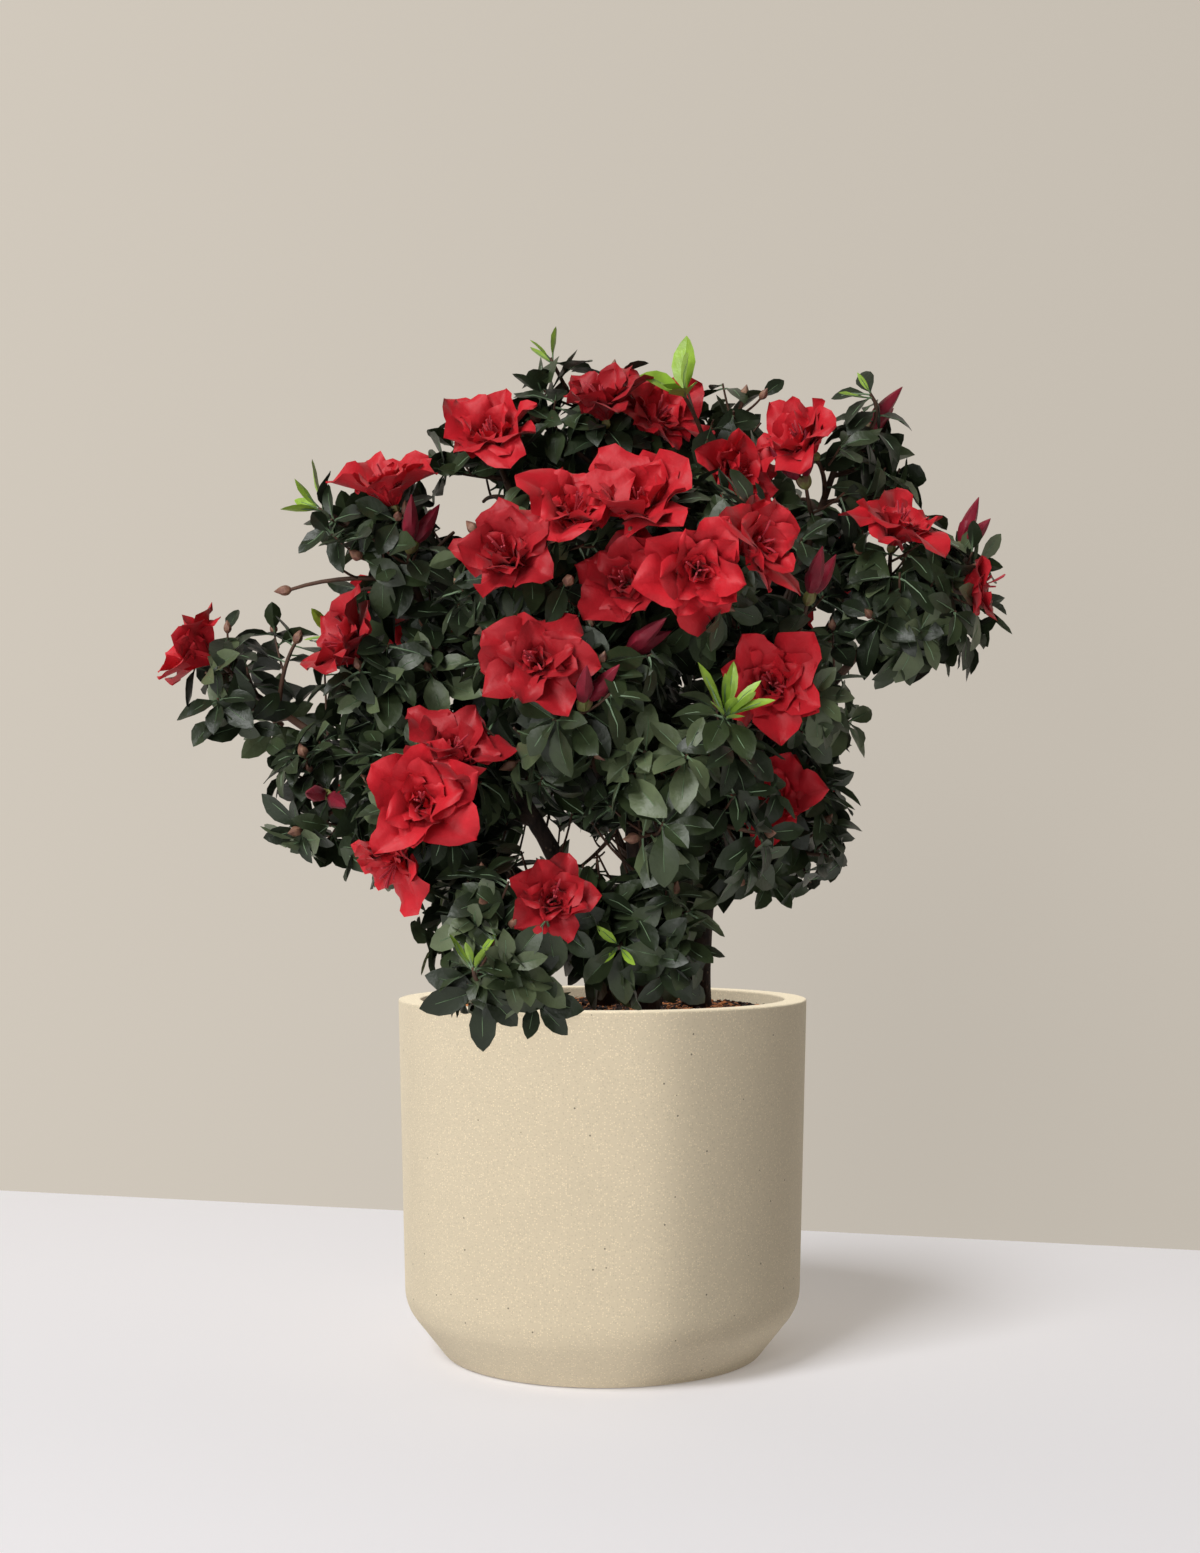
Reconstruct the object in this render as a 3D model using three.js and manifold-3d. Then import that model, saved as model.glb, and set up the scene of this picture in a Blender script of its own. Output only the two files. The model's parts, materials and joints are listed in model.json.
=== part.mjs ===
/**
 * A flowering azalea shrub in a round cast planter.
 *
 * Several stems rise out of the potting mix and fork into boughs. Each bough carries one mass of
 * foliage: a short stem that branches into shoots, with leaves in whorls and red double blooms.
 *
 * Millimetres, +Z up, +X to the right and +Y to the back. The origin is the centre of the planter's
 * flat underside. Turns are degrees from +X towards +Y, and rises are degrees above level.
 */
import * as THREE from 'three';
import { mergeVertices } from 'three/addons/utils/BufferGeometryUtils.js';
import Module from 'manifold-3d';

const wasm = await Module();
wasm.setup();

/* ---------------------------------------------------------------- driving sizes */

const touchGap = 0.3; // left between pieces that touch

const planter = {
  height: 242,
  rimRadius: 140, // outside, at the top
  shoulderRadius: 135.5, // outside, where the side turns in to the foot
  shoulderHeight: 35,
  shoulderRound: 11, // how far the turn is rounded off, each way
  footRadius: 108,
  wall: 15,
  floor: 20,
  edge: 1.5, // the small bevel on the rim and foot
  sides: 44,
};

const soil = {
  belowRim: 8,
};

const bark = {
  trunkSides: 7,
  trunkSteps: 5,
  boughSides: 5,
  boughSteps: 3,
  boughRoot: 4.2, // radius of a bough where it leaves its trunk
  boughTip: 2.8, // and where it enters its foliage
  flareLength: 14, // how fast the flare at the soil dies away
};

const twig = {
  stemSides: 5,
  stemSteps: 1,
  stemRoot: 2.8,
  stemTip: 2.3,
  shootRoot: 1.1,
  shootTip: 1.3,
  sides: 3, // a shoot has three faces, and a leaf or petal grows out of some of them
};

// A blade's length and width, the angle it stands off its shoot, how far its sides stand forward of
// its midrib, how far its tip sags, and how thick it is at its root, along the shoot.
const blades = {
  leaf: { length: 45, width: 24, open: 68, lift: 1.5, sag: 9, root: 2 },
  young: { length: 31, width: 12, open: 24, lift: 1.5, sag: 0, root: 1.8 },
  petal: { length: 39, width: 33, open: 62, lift: 5, sag: 0, root: 1.8 },
};

// What a shoot carries, as whorls of three blades by how far back from its tip each stands. A bud,
// or a bloom's middle, swells to a radius some way past the tip and ends `beyond` it. `inset` is how
// far the tip of a named shoot stays inside its mass.
const shootKinds = {
  leafy: { whorls: [[22, 'leaf'], [12, 'leaf'], [2, 'leaf']], beyond: 5 },
  sprig: { whorls: [[14, 'leaf'], [2, 'young']], beyond: 5, inset: 6 },
  bloom: { whorls: [[17, 'leaf'], [5, 'petal'], [1, 'petal']], swell: [9, 7], beyond: 20, inset: 24 },
  bud: { whorls: [[12, 'leaf'], [2, 'leaf']], swell: [14, 6.5], beyond: 34, inset: 34 },
};

const bladeSizes = [1, 0.87, 0.74]; // a blade is made shorter where it wouldn't fit its mass's space

// Each trunk stands on the potting mix at foot, leans out, and ends at tip.
const trunks = {
  right: { foot: [66, 8], tip: [88, -12, 440], root: 8.2, end: 4.6, flare: 4 },
  middle: { foot: [30, -6], tip: [6, -22, 500], root: 9, end: 4.4, flare: 4.5 },
  left: { foot: [2, 4], tip: [-84, -14, 430], root: 8, end: 4.4, flare: 4 },
  front: { foot: [30, -42], tip: [22, -78, 318], root: 7, end: 4.4, flare: 3.5 },
  back: { foot: [34, 42], tip: [14, 78, 430], root: 8.4, end: 4.4, flare: 4 },
};

// A named shoot stands in its mass at a turn and rise. It may face another way, and stand out
// further than others of its kind, in millimetres.
const named = (kind) => (turn, rise, { faces = [turn, rise], out = 0 } = {}) => (
  { kind, at: [turn, rise], faces, out }
);
const bloom = named('bloom');
const bud = named('bud');
const sprig = named('sprig');

// Each mass of foliage fills the part of a ball that lies nearer to it than to any other. `forks` is
// the share of its trunk's height at which its bough starts, and `shows` are its named shoots.
const masses = {
  far_left: { centre: [-238, -10, 450], radius: 62, trunk: 'left', forks: 0.64, seed: 731,
    shows: [bloom(-152, 30, { faces: [-172, 20], out: 16 })] },
  left_low: { centre: [-180, -40, 380], radius: 56, trunk: 'left', forks: 0.42, seed: 212,
    shows: [bud(-95, 0)] },
  left_front: { centre: [-107, -120, 364], radius: 70, trunk: 'left', forks: 0.28, seed: 293,
    shows: [bloom(-67, 45), bloom(-92, 7), bloom(-110, -30, { faces: [-135, -40], out: 4 })] },
  left_mid: { centre: [-137, -56, 460], radius: 60, trunk: 'left', forks: 0.8, seed: 94,
    shows: [bloom(-126, 17, { faces: [-150, 30] }), sprig(165, 30)] },
  left_upper: { centre: [-132, -62, 540], radius: 68, trunk: 'left', forks: 1, seed: 135,
    shows: [bloom(-96, 40, { faces: [-120, 60] }), bud(-77, -9, { faces: [-77, 60] }), sprig(180, 27)] },
  top_left: { centre: [-70, -20, 606], radius: 54, trunk: 'middle', forks: 0.7, seed: 336,
    shows: [bloom(-103, 22, { faces: [-110, 60] })] },
  top: { centre: [-6, 0, 622], radius: 68, trunk: 'middle', forks: 1, seed: 97,
    shows: [bloom(-80, 18, { faces: [-110, 55] }), bloom(-24, 12, { faces: [-60, 35] }),
      sprig(180, 64, { out: 6 })] },
  top_right: { centre: [82, -5, 616], radius: 66, trunk: 'middle', forks: 0.9, seed: 98,
    shows: [bloom(-88, -37, { faces: [-60, 5] }), sprig(-160, 60)] },
  front_upper_left: { centre: [-38, -140, 517], radius: 70, trunk: 'middle', forks: 0.58, seed: 459,
    shows: [bloom(-112, -3, { faces: [-125, 25] }), bloom(-60, 30, { faces: [-80, 55] })] },
  front_upper_right: { centre: [54, -140, 519], radius: 74, trunk: 'middle', forks: 0.8, seed: 340,
    shows: [bloom(-140, 32, { faces: [-100, 50] }), bloom(-145, -18, { faces: [-100, 15] }),
      bloom(-88, -12), bloom(-50, 4, { faces: [-35, 20] })] },
  front_mid: { centre: [-19, -148, 435], radius: 76, trunk: 'middle', forks: 0.46, seed: 581,
    shows: [bloom(-113, 19, { faces: [-97, 8] }), bud(-30, 36), bud(-81, -12, { faces: [-81, 40] })] },
  right_upper: { centre: [158, -15, 602], radius: 66, trunk: 'right', forks: 1, seed: 182,
    shows: [bloom(-120, 10, { faces: [-140, 30] }), bud(-10, 52), bud(-121, -22, { faces: [-110, 60] })] },
  right: { centre: [203, -25, 513], radius: 74, trunk: 'right', forks: 0.78, seed: 343,
    shows: [bloom(-107, 46, { faces: [-60, 55] }), bloom(-40, 12, { faces: [-10, 10] }),
      bud(-5, 40, { out: 8 })] },
  right_mid: { centre: [110, -100, 445], radius: 62, trunk: 'right', forks: 0.56, seed: 184,
    shows: [bloom(-97, 2, { faces: [-92, 8] }), bud(-90, 62)] },
  right_low: { centre: [112, -60, 355], radius: 64, trunk: 'right', forks: 0.34, seed: 585,
    shows: [bloom(-92, 30, { faces: [-60, 20] })] },
  front_right: { centre: [57, -140, 376], radius: 74, trunk: 'front', forks: 1, seed: 386,
    shows: [sprig(-70, 40)] },
  front_low: { centre: [28, -104, 290], radius: 56, trunk: 'front', forks: 0.4, seed: 67, shows: [] },
  rim_left: { centre: [-58, -134, 292], radius: 68, trunk: 'front', forks: 0.72, seed: 395,
    shows: [bloom(-46, 26, { faces: [-80, 20] })] },
  back_low_left: { centre: [-118, 84, 375], radius: 76, trunk: 'back', forks: 0.26, seed: 391,
    shows: [bloom(140, 10)] },
  back_low: { centre: [8, 142, 365], radius: 76, trunk: 'back', forks: 0.5, seed: 512,
    shows: [bloom(95, 5)] },
  back_low_right: { centre: [132, 72, 382], radius: 76, trunk: 'back', forks: 0.38, seed: 633,
    shows: [bloom(30, 0)] },
  back_high_left: { centre: [-122, 80, 500], radius: 76, trunk: 'back', forks: 0.74, seed: 514,
    shows: [bloom(170, 35), bloom(110, 10)] },
  back_high: { centre: [0, 138, 500], radius: 80, trunk: 'back', forks: 0.86, seed: 475,
    shows: [bloom(60, 20), bloom(120, -5)] },
  back_high_right: { centre: [122, 84, 510], radius: 80, trunk: 'back', forks: 0.62, seed: 596,
    shows: [bloom(20, 30), bloom(80, 0)] },
  back_top: { centre: [30, 90, 592], radius: 70, trunk: 'back', forks: 1, seed: 37,
    shows: [bloom(100, 40), bloom(40, 55)] },
};

// Passages right through the crown, front to back, that no leaf closes.
const passages = [
  { from: [-79, -190, 546], to: [-104, 200, 615], radius: 18 },
  { from: [-15, -190, 345], to: [-20, 200, 350], radius: 10 },
  { from: [131, -190, 563], to: [174, 200, 640], radius: 9 },
];

const growth = {
  shoots: 5, // leafy shoots in a mass, besides those that end in a bloom or a bud
  spread: 1.55, // how far round the stem the shoots reach: 2 would be right round to its root
  reach: 0.6, // where a leafy shoot ends, as a share of the ball's radius
  uneven: 0.16, // and how much further some go
  upturn: 0.3, // how strongly a leafy shoot's tip turns up
  curl: 0.45, // how early a shoot or bough bends to where it faces
  entry: 0.78, // where a bough meets its mass, as a share of the ball's radius
  dip: 0.16, // and how far below the straight way there
  past: 0.3, // how far the mass's stem goes on past the ball's middle
  aside: 38, // degrees that leafy shoots keep from a bloom
  massGap: 1.2, // kept between two masses
  limbGap: 1.5, // kept between leaves or twigs and limbs
  bladeGap: 12, // kept between the middles of two leaves
  goldenAngle: Math.PI * (3 - Math.sqrt(5)),
};

/* ---------------------------------------------------------------- materials */

const material = (color, roughness) => new THREE.MeshStandardMaterial({ color, roughness, metalness: 0 });

const castStone = material('#dccfb0', 0.85);
const pottingMix = material('#2b1c16', 0.95);
const stemBark = material('#3b2a22', 0.9);
const foliage = material('#2f4238', 0.5);

/* ---------------------------------------------------------------- small helpers */

const vector = (list) => new THREE.Vector3(...list);

const radians = THREE.MathUtils.degToRad;

/** A direction from its turn and rise. */
function direction([turn, rise]) {
  const level = Math.cos(radians(rise));
  return new THREE.Vector3(
    level * Math.cos(radians(turn)),
    level * Math.sin(radians(turn)),
    Math.sin(radians(rise)),
  );
}

/** A seeded source of numbers from 0 to 1, so that the shrub grows the same way every time. */
function seeded(seed) {
  let state = seed * 7919;
  return () => {
    state = (state * 1664525 + 1013904223) % 4294967296;
    return state / 4294967296;
  };
}

/** Two directions square to `axis` and to each other. */
function squareTo(axis) {
  const helper = Math.abs(axis.z) < 0.9 ? new THREE.Vector3(0, 0, 1) : new THREE.Vector3(1, 0, 0);
  const side = new THREE.Vector3().crossVectors(helper, axis).normalize();
  return [side, new THREE.Vector3().crossVectors(axis, side)];
}

/** A solid from a closed geometry. */
function solidOf(geometry) {
  const bare = geometry.clone();
  bare.deleteAttribute('normal');
  bare.deleteAttribute('uv');
  const merged = mergeVertices(bare, 1e-3);
  return new wasm.Manifold(new wasm.Mesh({
    numProp: 3,
    vertProperties: merged.getAttribute('position').array,
    triVerts: new Uint32Array(merged.index.array),
  }));
}

/** A geometry from the largest body of a solid, without scraps or sealed hollows. */
function geometryOf(solid) {
  const bodies = solid.decompose();
  const body = bodies.reduce((best, next) => (next.volume() > best.volume() ? next : best));
  const mesh = body.getMesh();
  const positions = new Float32Array(mesh.numVert * 3);
  for (let i = 0; i < mesh.numVert; i += 1) {
    const start = i * mesh.numProp;
    positions.set(mesh.vertProperties.subarray(start, start + 3), i * 3);
  }
  return new THREE.BufferGeometry()
    .setAttribute('position', new THREE.BufferAttribute(positions, 3))
    .setIndex(new THREE.BufferAttribute(new Uint32Array(mesh.triVerts), 1));
}

/** A closed limb along a flat curve, whose radius at a share of its length is radiusAt(share). */
function limb(curve, radiusAt, sides, steps) {
  const tube = new THREE.CylinderGeometry(1, 1, 1, sides, steps);
  const place = tube.getAttribute('position');
  const [start, middle, end] = [0, 0.5, 1].map((share) => curve.getPoint(share));
  const flat = new THREE.Vector3().crossVectors(middle.clone().sub(start), end.clone().sub(middle));
  const [across] = flat.length() > 1 ? [flat.normalize()] : squareTo(curve.getTangent(0.5));
  for (let i = 0; i < place.count; i += 1) {
    const share = place.getY(i) + 0.5;
    const radius = radiusAt(share);
    const other = new THREE.Vector3().crossVectors(curve.getTangent(share), across).normalize();
    const point = curve.getPoint(share)
      .addScaledVector(across, place.getZ(i) * radius)
      .addScaledVector(other, place.getX(i) * radius);
    place.setXYZ(i, point.x, point.y, point.z);
  }
  return tube;
}

/* ---------------------------------------------------------------- planter and potting mix */

function planterGeometry() {
  const { height, rimRadius, shoulderRadius, shoulderHeight, shoulderRound, footRadius } = planter;
  const { wall, floor, edge, sides } = planter;
  const turn = new THREE.QuadraticBezierCurve(
    new THREE.Vector2(shoulderRadius, shoulderHeight).lerp(
      new THREE.Vector2(footRadius, 0),
      shoulderRound / Math.hypot(shoulderRadius - footRadius, shoulderHeight),
    ),
    new THREE.Vector2(shoulderRadius, shoulderHeight),
    new THREE.Vector2(shoulderRadius, shoulderHeight + shoulderRound),
  );
  const profile = [
    new THREE.Vector2(0, 0),
    new THREE.Vector2(footRadius - 2 * edge, 0),
    new THREE.Vector2(footRadius + edge / 2, edge),
    ...turn.getPoints(2),
    new THREE.Vector2(rimRadius, height - edge),
    new THREE.Vector2(rimRadius - edge, height),
    new THREE.Vector2(rimRadius - wall + edge, height),
    new THREE.Vector2(rimRadius - wall, height - edge),
    new THREE.Vector2(shoulderRadius - wall, shoulderHeight),
    new THREE.Vector2(footRadius - wall / 2, floor),
    new THREE.Vector2(0, floor),
  ];
  return new THREE.LatheGeometry(profile, sides).rotateX(Math.PI / 2);
}

const soilTop = planter.height - soil.belowRim;

function soilGeometry() {
  // Inside the planter's flat sides, whose middles lie a little nearer to the axis than their edges.
  const clear = touchGap + planter.rimRadius * (1 - Math.cos(Math.PI / planter.sides));
  const topShare = (soilTop - planter.shoulderHeight) / (planter.height - planter.shoulderHeight);
  const shoulder = planter.shoulderRadius - planter.wall;
  const atTop = shoulder + topShare * (planter.rimRadius - planter.shoulderRadius);
  const profile = [
    new THREE.Vector2(0, planter.floor + touchGap),
    new THREE.Vector2(planter.footRadius - planter.wall / 2 - clear, planter.floor + touchGap),
    new THREE.Vector2(shoulder - clear, planter.shoulderHeight),
    new THREE.Vector2(atTop - clear, soilTop),
    new THREE.Vector2(0, soilTop),
  ];
  return new THREE.LatheGeometry(profile, planter.sides).rotateX(Math.PI / 2);
}

/* ---------------------------------------------------------------- trunks and boughs */

/** A trunk's middle line: upright at the soil, then leaning out to its tip. */
function trunkCurve({ foot, tip }) {
  const base = new THREE.Vector3(foot[0], foot[1], soilTop + touchGap);
  const end = vector(tip);
  const rise = end.z - base.z;
  return new THREE.CubicBezierCurve3(
    base,
    base.clone().add(new THREE.Vector3(0, 0, rise * 0.35)),
    end.clone().lerp(base, 0.3).add(new THREE.Vector3(0, 0, rise * 0.02)),
    end,
  );
}

/** A trunk's radius: a taper, with the flare at the soil added. */
function trunkRadius(trunk, length, grown = 0) {
  return (share) => trunk.root + (trunk.end - trunk.root) * share
    + trunk.flare * Math.exp(-(share * length) / bark.flareLength) + grown;
}

/** A bough's middle line: out from inside its trunk, then up to where it meets its mass. */
function boughCurve(mass, trunk) {
  const start = trunk.curve.getPoint(mass.forks);
  const inward = start.clone().sub(mass.middle).normalize();
  const end = mass.middle.clone().addScaledVector(inward, mass.radius * growth.entry);
  end.z -= mass.radius * growth.dip;
  const onward = mass.middle.clone().sub(end).normalize();
  const bend = end.clone().addScaledVector(onward, -start.distanceTo(end) * growth.curl);
  return new THREE.QuadraticBezierCurve3(start, bend, end);
}

const boughRadius = (share) => bark.boughRoot + (bark.boughTip - bark.boughRoot) * share;

/* ---------------------------------------------------------------- space that a mass may use */

const limbs = []; // every trunk, bough and stem, as points along its middle with its radii

function noteLimb(curve, radiusAt, mass = null) {
  const steps = 12;
  limbs.push({
    mass,
    points: Array.from({ length: steps + 1 }, (_, i) => curve.getPoint(i / steps)),
    radii: Array.from({ length: steps + 1 }, (_, i) => radiusAt(i / steps)),
  });
}

const inBall = (mass, point) => point.distanceTo(mass.middle) <= mass.radius;

/** Whether a point lies on this mass's side of the planes that part it from its neighbours. */
function onOwnSide(mass, point, gap) {
  return Object.values(masses).every((other) => {
    if (other === mass) return true;
    const apart = mass.middle.distanceTo(other.middle);
    const own = point.distanceToSquared(mass.middle) - mass.radius ** 2;
    const theirs = point.distanceToSquared(other.middle) - other.radius ** 2;
    return own + gap * apart <= theirs;
  });
}

/** How far a point lies from the straight line between two others. */
function fromLine(point, from, to) {
  const nearest = new THREE.Line3(from, to).closestPointToPoint(point, true, new THREE.Vector3());
  return point.distanceTo(nearest);
}

/** Whether a point is clear of every limb but the mass's own stem. */
function clearOfLimbs(mass, point, gap) {
  return limbs.every(({ mass: owner, points, radii }) => owner === mass || points.every(
    (from, i) => i + 1 === points.length
      || fromLine(point, from, points[i + 1]) > Math.max(radii[i], radii[i + 1]) + gap,
  ));
}

/** Whether a point is out of the passages that stay open. */
const clearOfPassages = (point) => passages.every(
  ({ from, to, radius }) => fromLine(point, vector(from), vector(to)) > radius,
);

/** Whether a point is clear of the planter's rim and of the potting mix. */
function clearOfPlanter(point) {
  const out = Math.hypot(point.x, point.y);
  if (point.z > planter.height + 3) return true;
  if (out < planter.rimRadius - planter.wall - 4) return point.z > soilTop + 3;
  return out > planter.rimRadius + 3;
}

const fits = (mass, points, thick = 0) => points.every(
  (point) => onOwnSide(mass, point, growth.massGap + thick * 2)
    && clearOfLimbs(mass, point, growth.limbGap + thick)
    && clearOfPlanter(point),
);

/* ---------------------------------------------------------------- one mass of foliage */

/** The short stem of a mass: from just past its bough's tip, straight through the ball's middle. */
function stemCurve(mass) {
  const tip = mass.bough.getPoint(1);
  const onward = mass.middle.clone().sub(tip).normalize();
  return new THREE.LineCurve3(
    tip.clone().addScaledVector(onward, touchGap),
    mass.middle.clone().addScaledVector(onward, mass.radius * growth.past),
  );
}

const stemRadius = (share) => twig.stemRoot + (twig.stemTip - twig.stemRoot) * share;

/** Where a mass's shoots point and what they carry: blooms and buds as named, then leafy ones. */
function headingsOf(mass, axis, draw) {
  const flowering = mass.shows.map(({ kind, at, faces, out }) => ({
    kind,
    heading: direction(at),
    faces: direction(faces),
    reach: mass.radius - shootKinds[kind].inset + out,
  }));
  const [side, other] = squareTo(axis);
  const leafy = Array.from({ length: growth.shoots }, (_, i) => {
    const forward = 1 - (growth.spread * (i + 0.5)) / growth.shoots;
    const outward = Math.sqrt(1 - forward ** 2);
    const turn = i * growth.goldenAngle + draw() * 0.7;
    const heading = axis.clone().multiplyScalar(forward)
      .addScaledVector(side, outward * Math.cos(turn))
      .addScaledVector(other, outward * Math.sin(turn));
    const faces = heading.clone().add(new THREE.Vector3(0, 0, growth.upturn)).normalize();
    const reach = mass.radius * (growth.reach + growth.uneven * draw());
    return { kind: 'leafy', heading, faces, reach };
  });
  const clear = ({ heading }) => flowering.every(
    (flower) => flower.heading.angleTo(heading) > radians(growth.aside),
  );
  return [...flowering, ...leafy.filter(clear)];
}

/** Every shoot of a mass, from where it leaves the stem to its tip. */
function shootsOf(mass) {
  const draw = seeded(mass.seed);
  const axis = mass.middle.clone().sub(mass.stem.getPoint(0)).normalize();
  return headingsOf(mass, axis, draw).map(({ kind, heading, faces, reach }) => {
    const tip = mass.middle.clone().addScaledVector(heading, reach);
    const root = mass.stem.getPoint(0.5 + 0.4 * heading.dot(axis));
    const bend = tip.clone().addScaledVector(faces, -root.distanceTo(tip) * growth.curl);
    return { kind, turn: draw() * 360, curve: new THREE.QuadraticBezierCurve3(root, bend, tip) };
  });
}

/** A ring of three points square to a shoot, `forward` past its tip, or back from it if negative. */
function ringOn(shoot, forward, radius, turn) {
  const share = Math.min(1, Math.max(0, 1 + forward / shoot.length));
  const along = shoot.curve.getTangent(share);
  const middle = shoot.curve.getPoint(share).addScaledVector(along, Math.max(0, forward));
  const [side, other] = squareTo(along);
  const around = (degrees) => side.clone().multiplyScalar(Math.cos(radians(degrees)))
    .addScaledVector(other, Math.sin(radians(degrees)));
  const corners = [0, 120, 240].map(
    (degrees) => middle.clone().addScaledVector(around(degrees + turn), radius),
  );
  const outward = [60, 180, 300].map((degrees) => around(degrees + turn));
  return { middle, along, corners, outward };
}

/** The left, right and tip corners of a blade that grows outward from a ring. */
function bladeCorners(ring, face, blade, size) {
  const out = ring.outward[face];
  const open = radians(blade.open);
  const lie = ring.along.clone().multiplyScalar(Math.cos(open)).addScaledVector(out, Math.sin(open));
  const forward = ring.along.clone().multiplyScalar(Math.sin(open)).addScaledVector(out, -Math.cos(open));
  const rightward = new THREE.Vector3().crossVectors(ring.along, out);
  const sag = new THREE.Vector3(0, 0, -blade.sag * size);
  const corner = (length, width, lift, share) => ring.middle.clone()
    .addScaledVector(lie, blade.length * size * length)
    .addScaledVector(rightward, (blade.width * size * width) / 2)
    .addScaledVector(forward, lift)
    .addScaledVector(sag, share);
  return [corner(0.5, -1, blade.lift, 0.3), corner(0.5, 1, blade.lift, 0.3), corner(1, 0, 0, 1)];
}

/** A shoot with all that it carries, as one closed solid. */
function shootGeometry(mass, shoot, taken) {
  const { whorls, swell, beyond } = shootKinds[shoot.kind];
  const corners = [];
  const faces = [];
  const note = (points) => points.map((point) => corners.push(point) - 1);
  let turn = shoot.turn;
  const first = ringOn(shoot, -shoot.length, twig.shootRoot, turn);
  let below = note(first.corners);
  faces.push([below[0], below[2], below[1]]);
  const side = (above, face) => {
    const next = (face + 1) % twig.sides;
    faces.push([below[face], below[next], above[face]], [above[face], below[next], above[next]]);
  };
  const plainTo = (ring) => {
    const above = note(ring.corners);
    [0, 1, 2].forEach((face) => side(above, face));
    below = above;
  };
  whorls.forEach(([back, name]) => {
    const blade = blades[name];
    plainTo(ringOn(shoot, -back - blade.root, twig.shootTip, turn));
    const ring = ringOn(shoot, -back, twig.shootTip, turn);
    const above = note(ring.corners);
    [0, 1, 2].forEach((face) => {
      const outline = bladeSizes.map((size) => bladeCorners(ring, face, blade, size))
        .find((points) => bladeFits(mass, ring.middle, points, name, taken));
      if (!outline) {
        side(above, face);
        return;
      }
      const [left, right, tip] = note(outline);
      const [a, b] = [below[face], below[(face + 1) % twig.sides]];
      const [d, c] = [above[face], above[(face + 1) % twig.sides]];
      faces.push([a, b, tip], [b, c, right], [c, d, tip], [d, a, left]);
      faces.push([b, right, tip], [c, tip, right], [a, tip, left], [d, left, tip]);
    });
    below = above;
    turn += 60;
  });
  if (swell) plainTo(ringOn(shoot, ...swell, turn));
  const [end] = note([ringOn(shoot, beyond, 0, turn).middle]);
  [0, 1, 2].forEach((face) => faces.push([below[face], below[(face + 1) % twig.sides], end]));
  return new THREE.BufferGeometry().setFromPoints(corners).setIndex(faces.flat());
}

/** Whether a blade keeps to its mass's space and off the blades that other shoots have there. */
function bladeFits(mass, root, [left, right, tip], name, taken) {
  const along = [0.2, 0.4, 0.6, 0.8, 1].map((share) => root.clone().lerp(tip, share));
  const edges = [left, right].flatMap((point) => [
    point,
    ...[0.35, 0.7].map((share) => root.clone().lerp(point, share)),
    ...[0.25, 0.5, 0.75].map((share) => point.clone().lerp(tip, share)),
  ]);
  const points = [...along, ...edges];
  if (name === 'leaf') {
    if (!points.every((point) => inBall(mass, point))) return false;
    const apart = (point) => taken.before.every((other) => other.distanceTo(point) > growth.bladeGap);
    if (!along.every(apart)) return false;
  }
  if (!fits(mass, points) || !points.every(clearOfPassages)) return false;
  taken.now.push(...along);
  return true;
}

function massGeometry(mass) {
  let solid = solidOf(limb(mass.stem, stemRadius, twig.stemSides, twig.stemSteps));
  const taken = { before: [], now: [] };
  shootsOf(mass).forEach((shoot) => {
    shoot.length = shoot.curve.getLength();
    if (!fits(mass, shoot.curve.getPoints(10).slice(3), twig.shootRoot)) return;
    solid = solid.add(solidOf(shootGeometry(mass, shoot, taken)));
    taken.before.push(...taken.now.splice(0));
  });
  return geometryOf(solid);
}

/* ---------------------------------------------------------------- the whole plant */

const shrub = new THREE.Group();
shrub.name = 'azalea_shrub';

function add(name, geometry, look) {
  const mesh = new THREE.Mesh(geometry, look);
  mesh.name = name;
  shrub.add(mesh);
}

add('planter', planterGeometry(), castStone);
add('potting_mix', soilGeometry(), pottingMix);

Object.entries(trunks).forEach(([name, trunk]) => {
  trunk.curve = trunkCurve(trunk);
  const length = trunk.curve.getLength();
  const shape = (grown) => limb(
    trunk.curve,
    trunkRadius(trunk, length, grown),
    bark.trunkSides,
    bark.trunkSteps,
  );
  trunk.grown = solidOf(shape(touchGap * 1.2));
  noteLimb(trunk.curve, trunkRadius(trunk, length));
  add(`trunk_${name}`, shape(0), stemBark);
});

Object.values(masses).forEach((mass) => {
  mass.middle = vector(mass.centre);
  mass.bough = boughCurve(mass, trunks[mass.trunk]);
  mass.stem = stemCurve(mass);
  noteLimb(mass.bough, boughRadius);
  noteLimb(mass.stem, stemRadius, mass);
});

Object.entries(masses).forEach(([name, mass]) => {
  const whole = solidOf(limb(mass.bough, boughRadius, bark.boughSides, bark.boughSteps));
  const cut = whole.subtract(trunks[mass.trunk].grown);
  add(`bough_${name}`, geometryOf(cut), stemBark);
  add(`foliage_${name}`, massGeometry(mass), foliage);
});

export default shrub;
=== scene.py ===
"""A flowering azalea shrub in a round cast planter, finished for rendering.

The shrub grows by the same rule as its solids: stems, boughs, a mass of foliage on each bough, and
shoots in each mass. Here the shoots go on into finer twigs, leaves a little over real size, double
blooms and buds. Sizes are in millimetres until a mesh is made, +Z is up and +Y is to the back. Turns are
degrees from +X towards +Y, and rises are degrees above level.
"""

import functools
import json
import math
from types import SimpleNamespace

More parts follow.
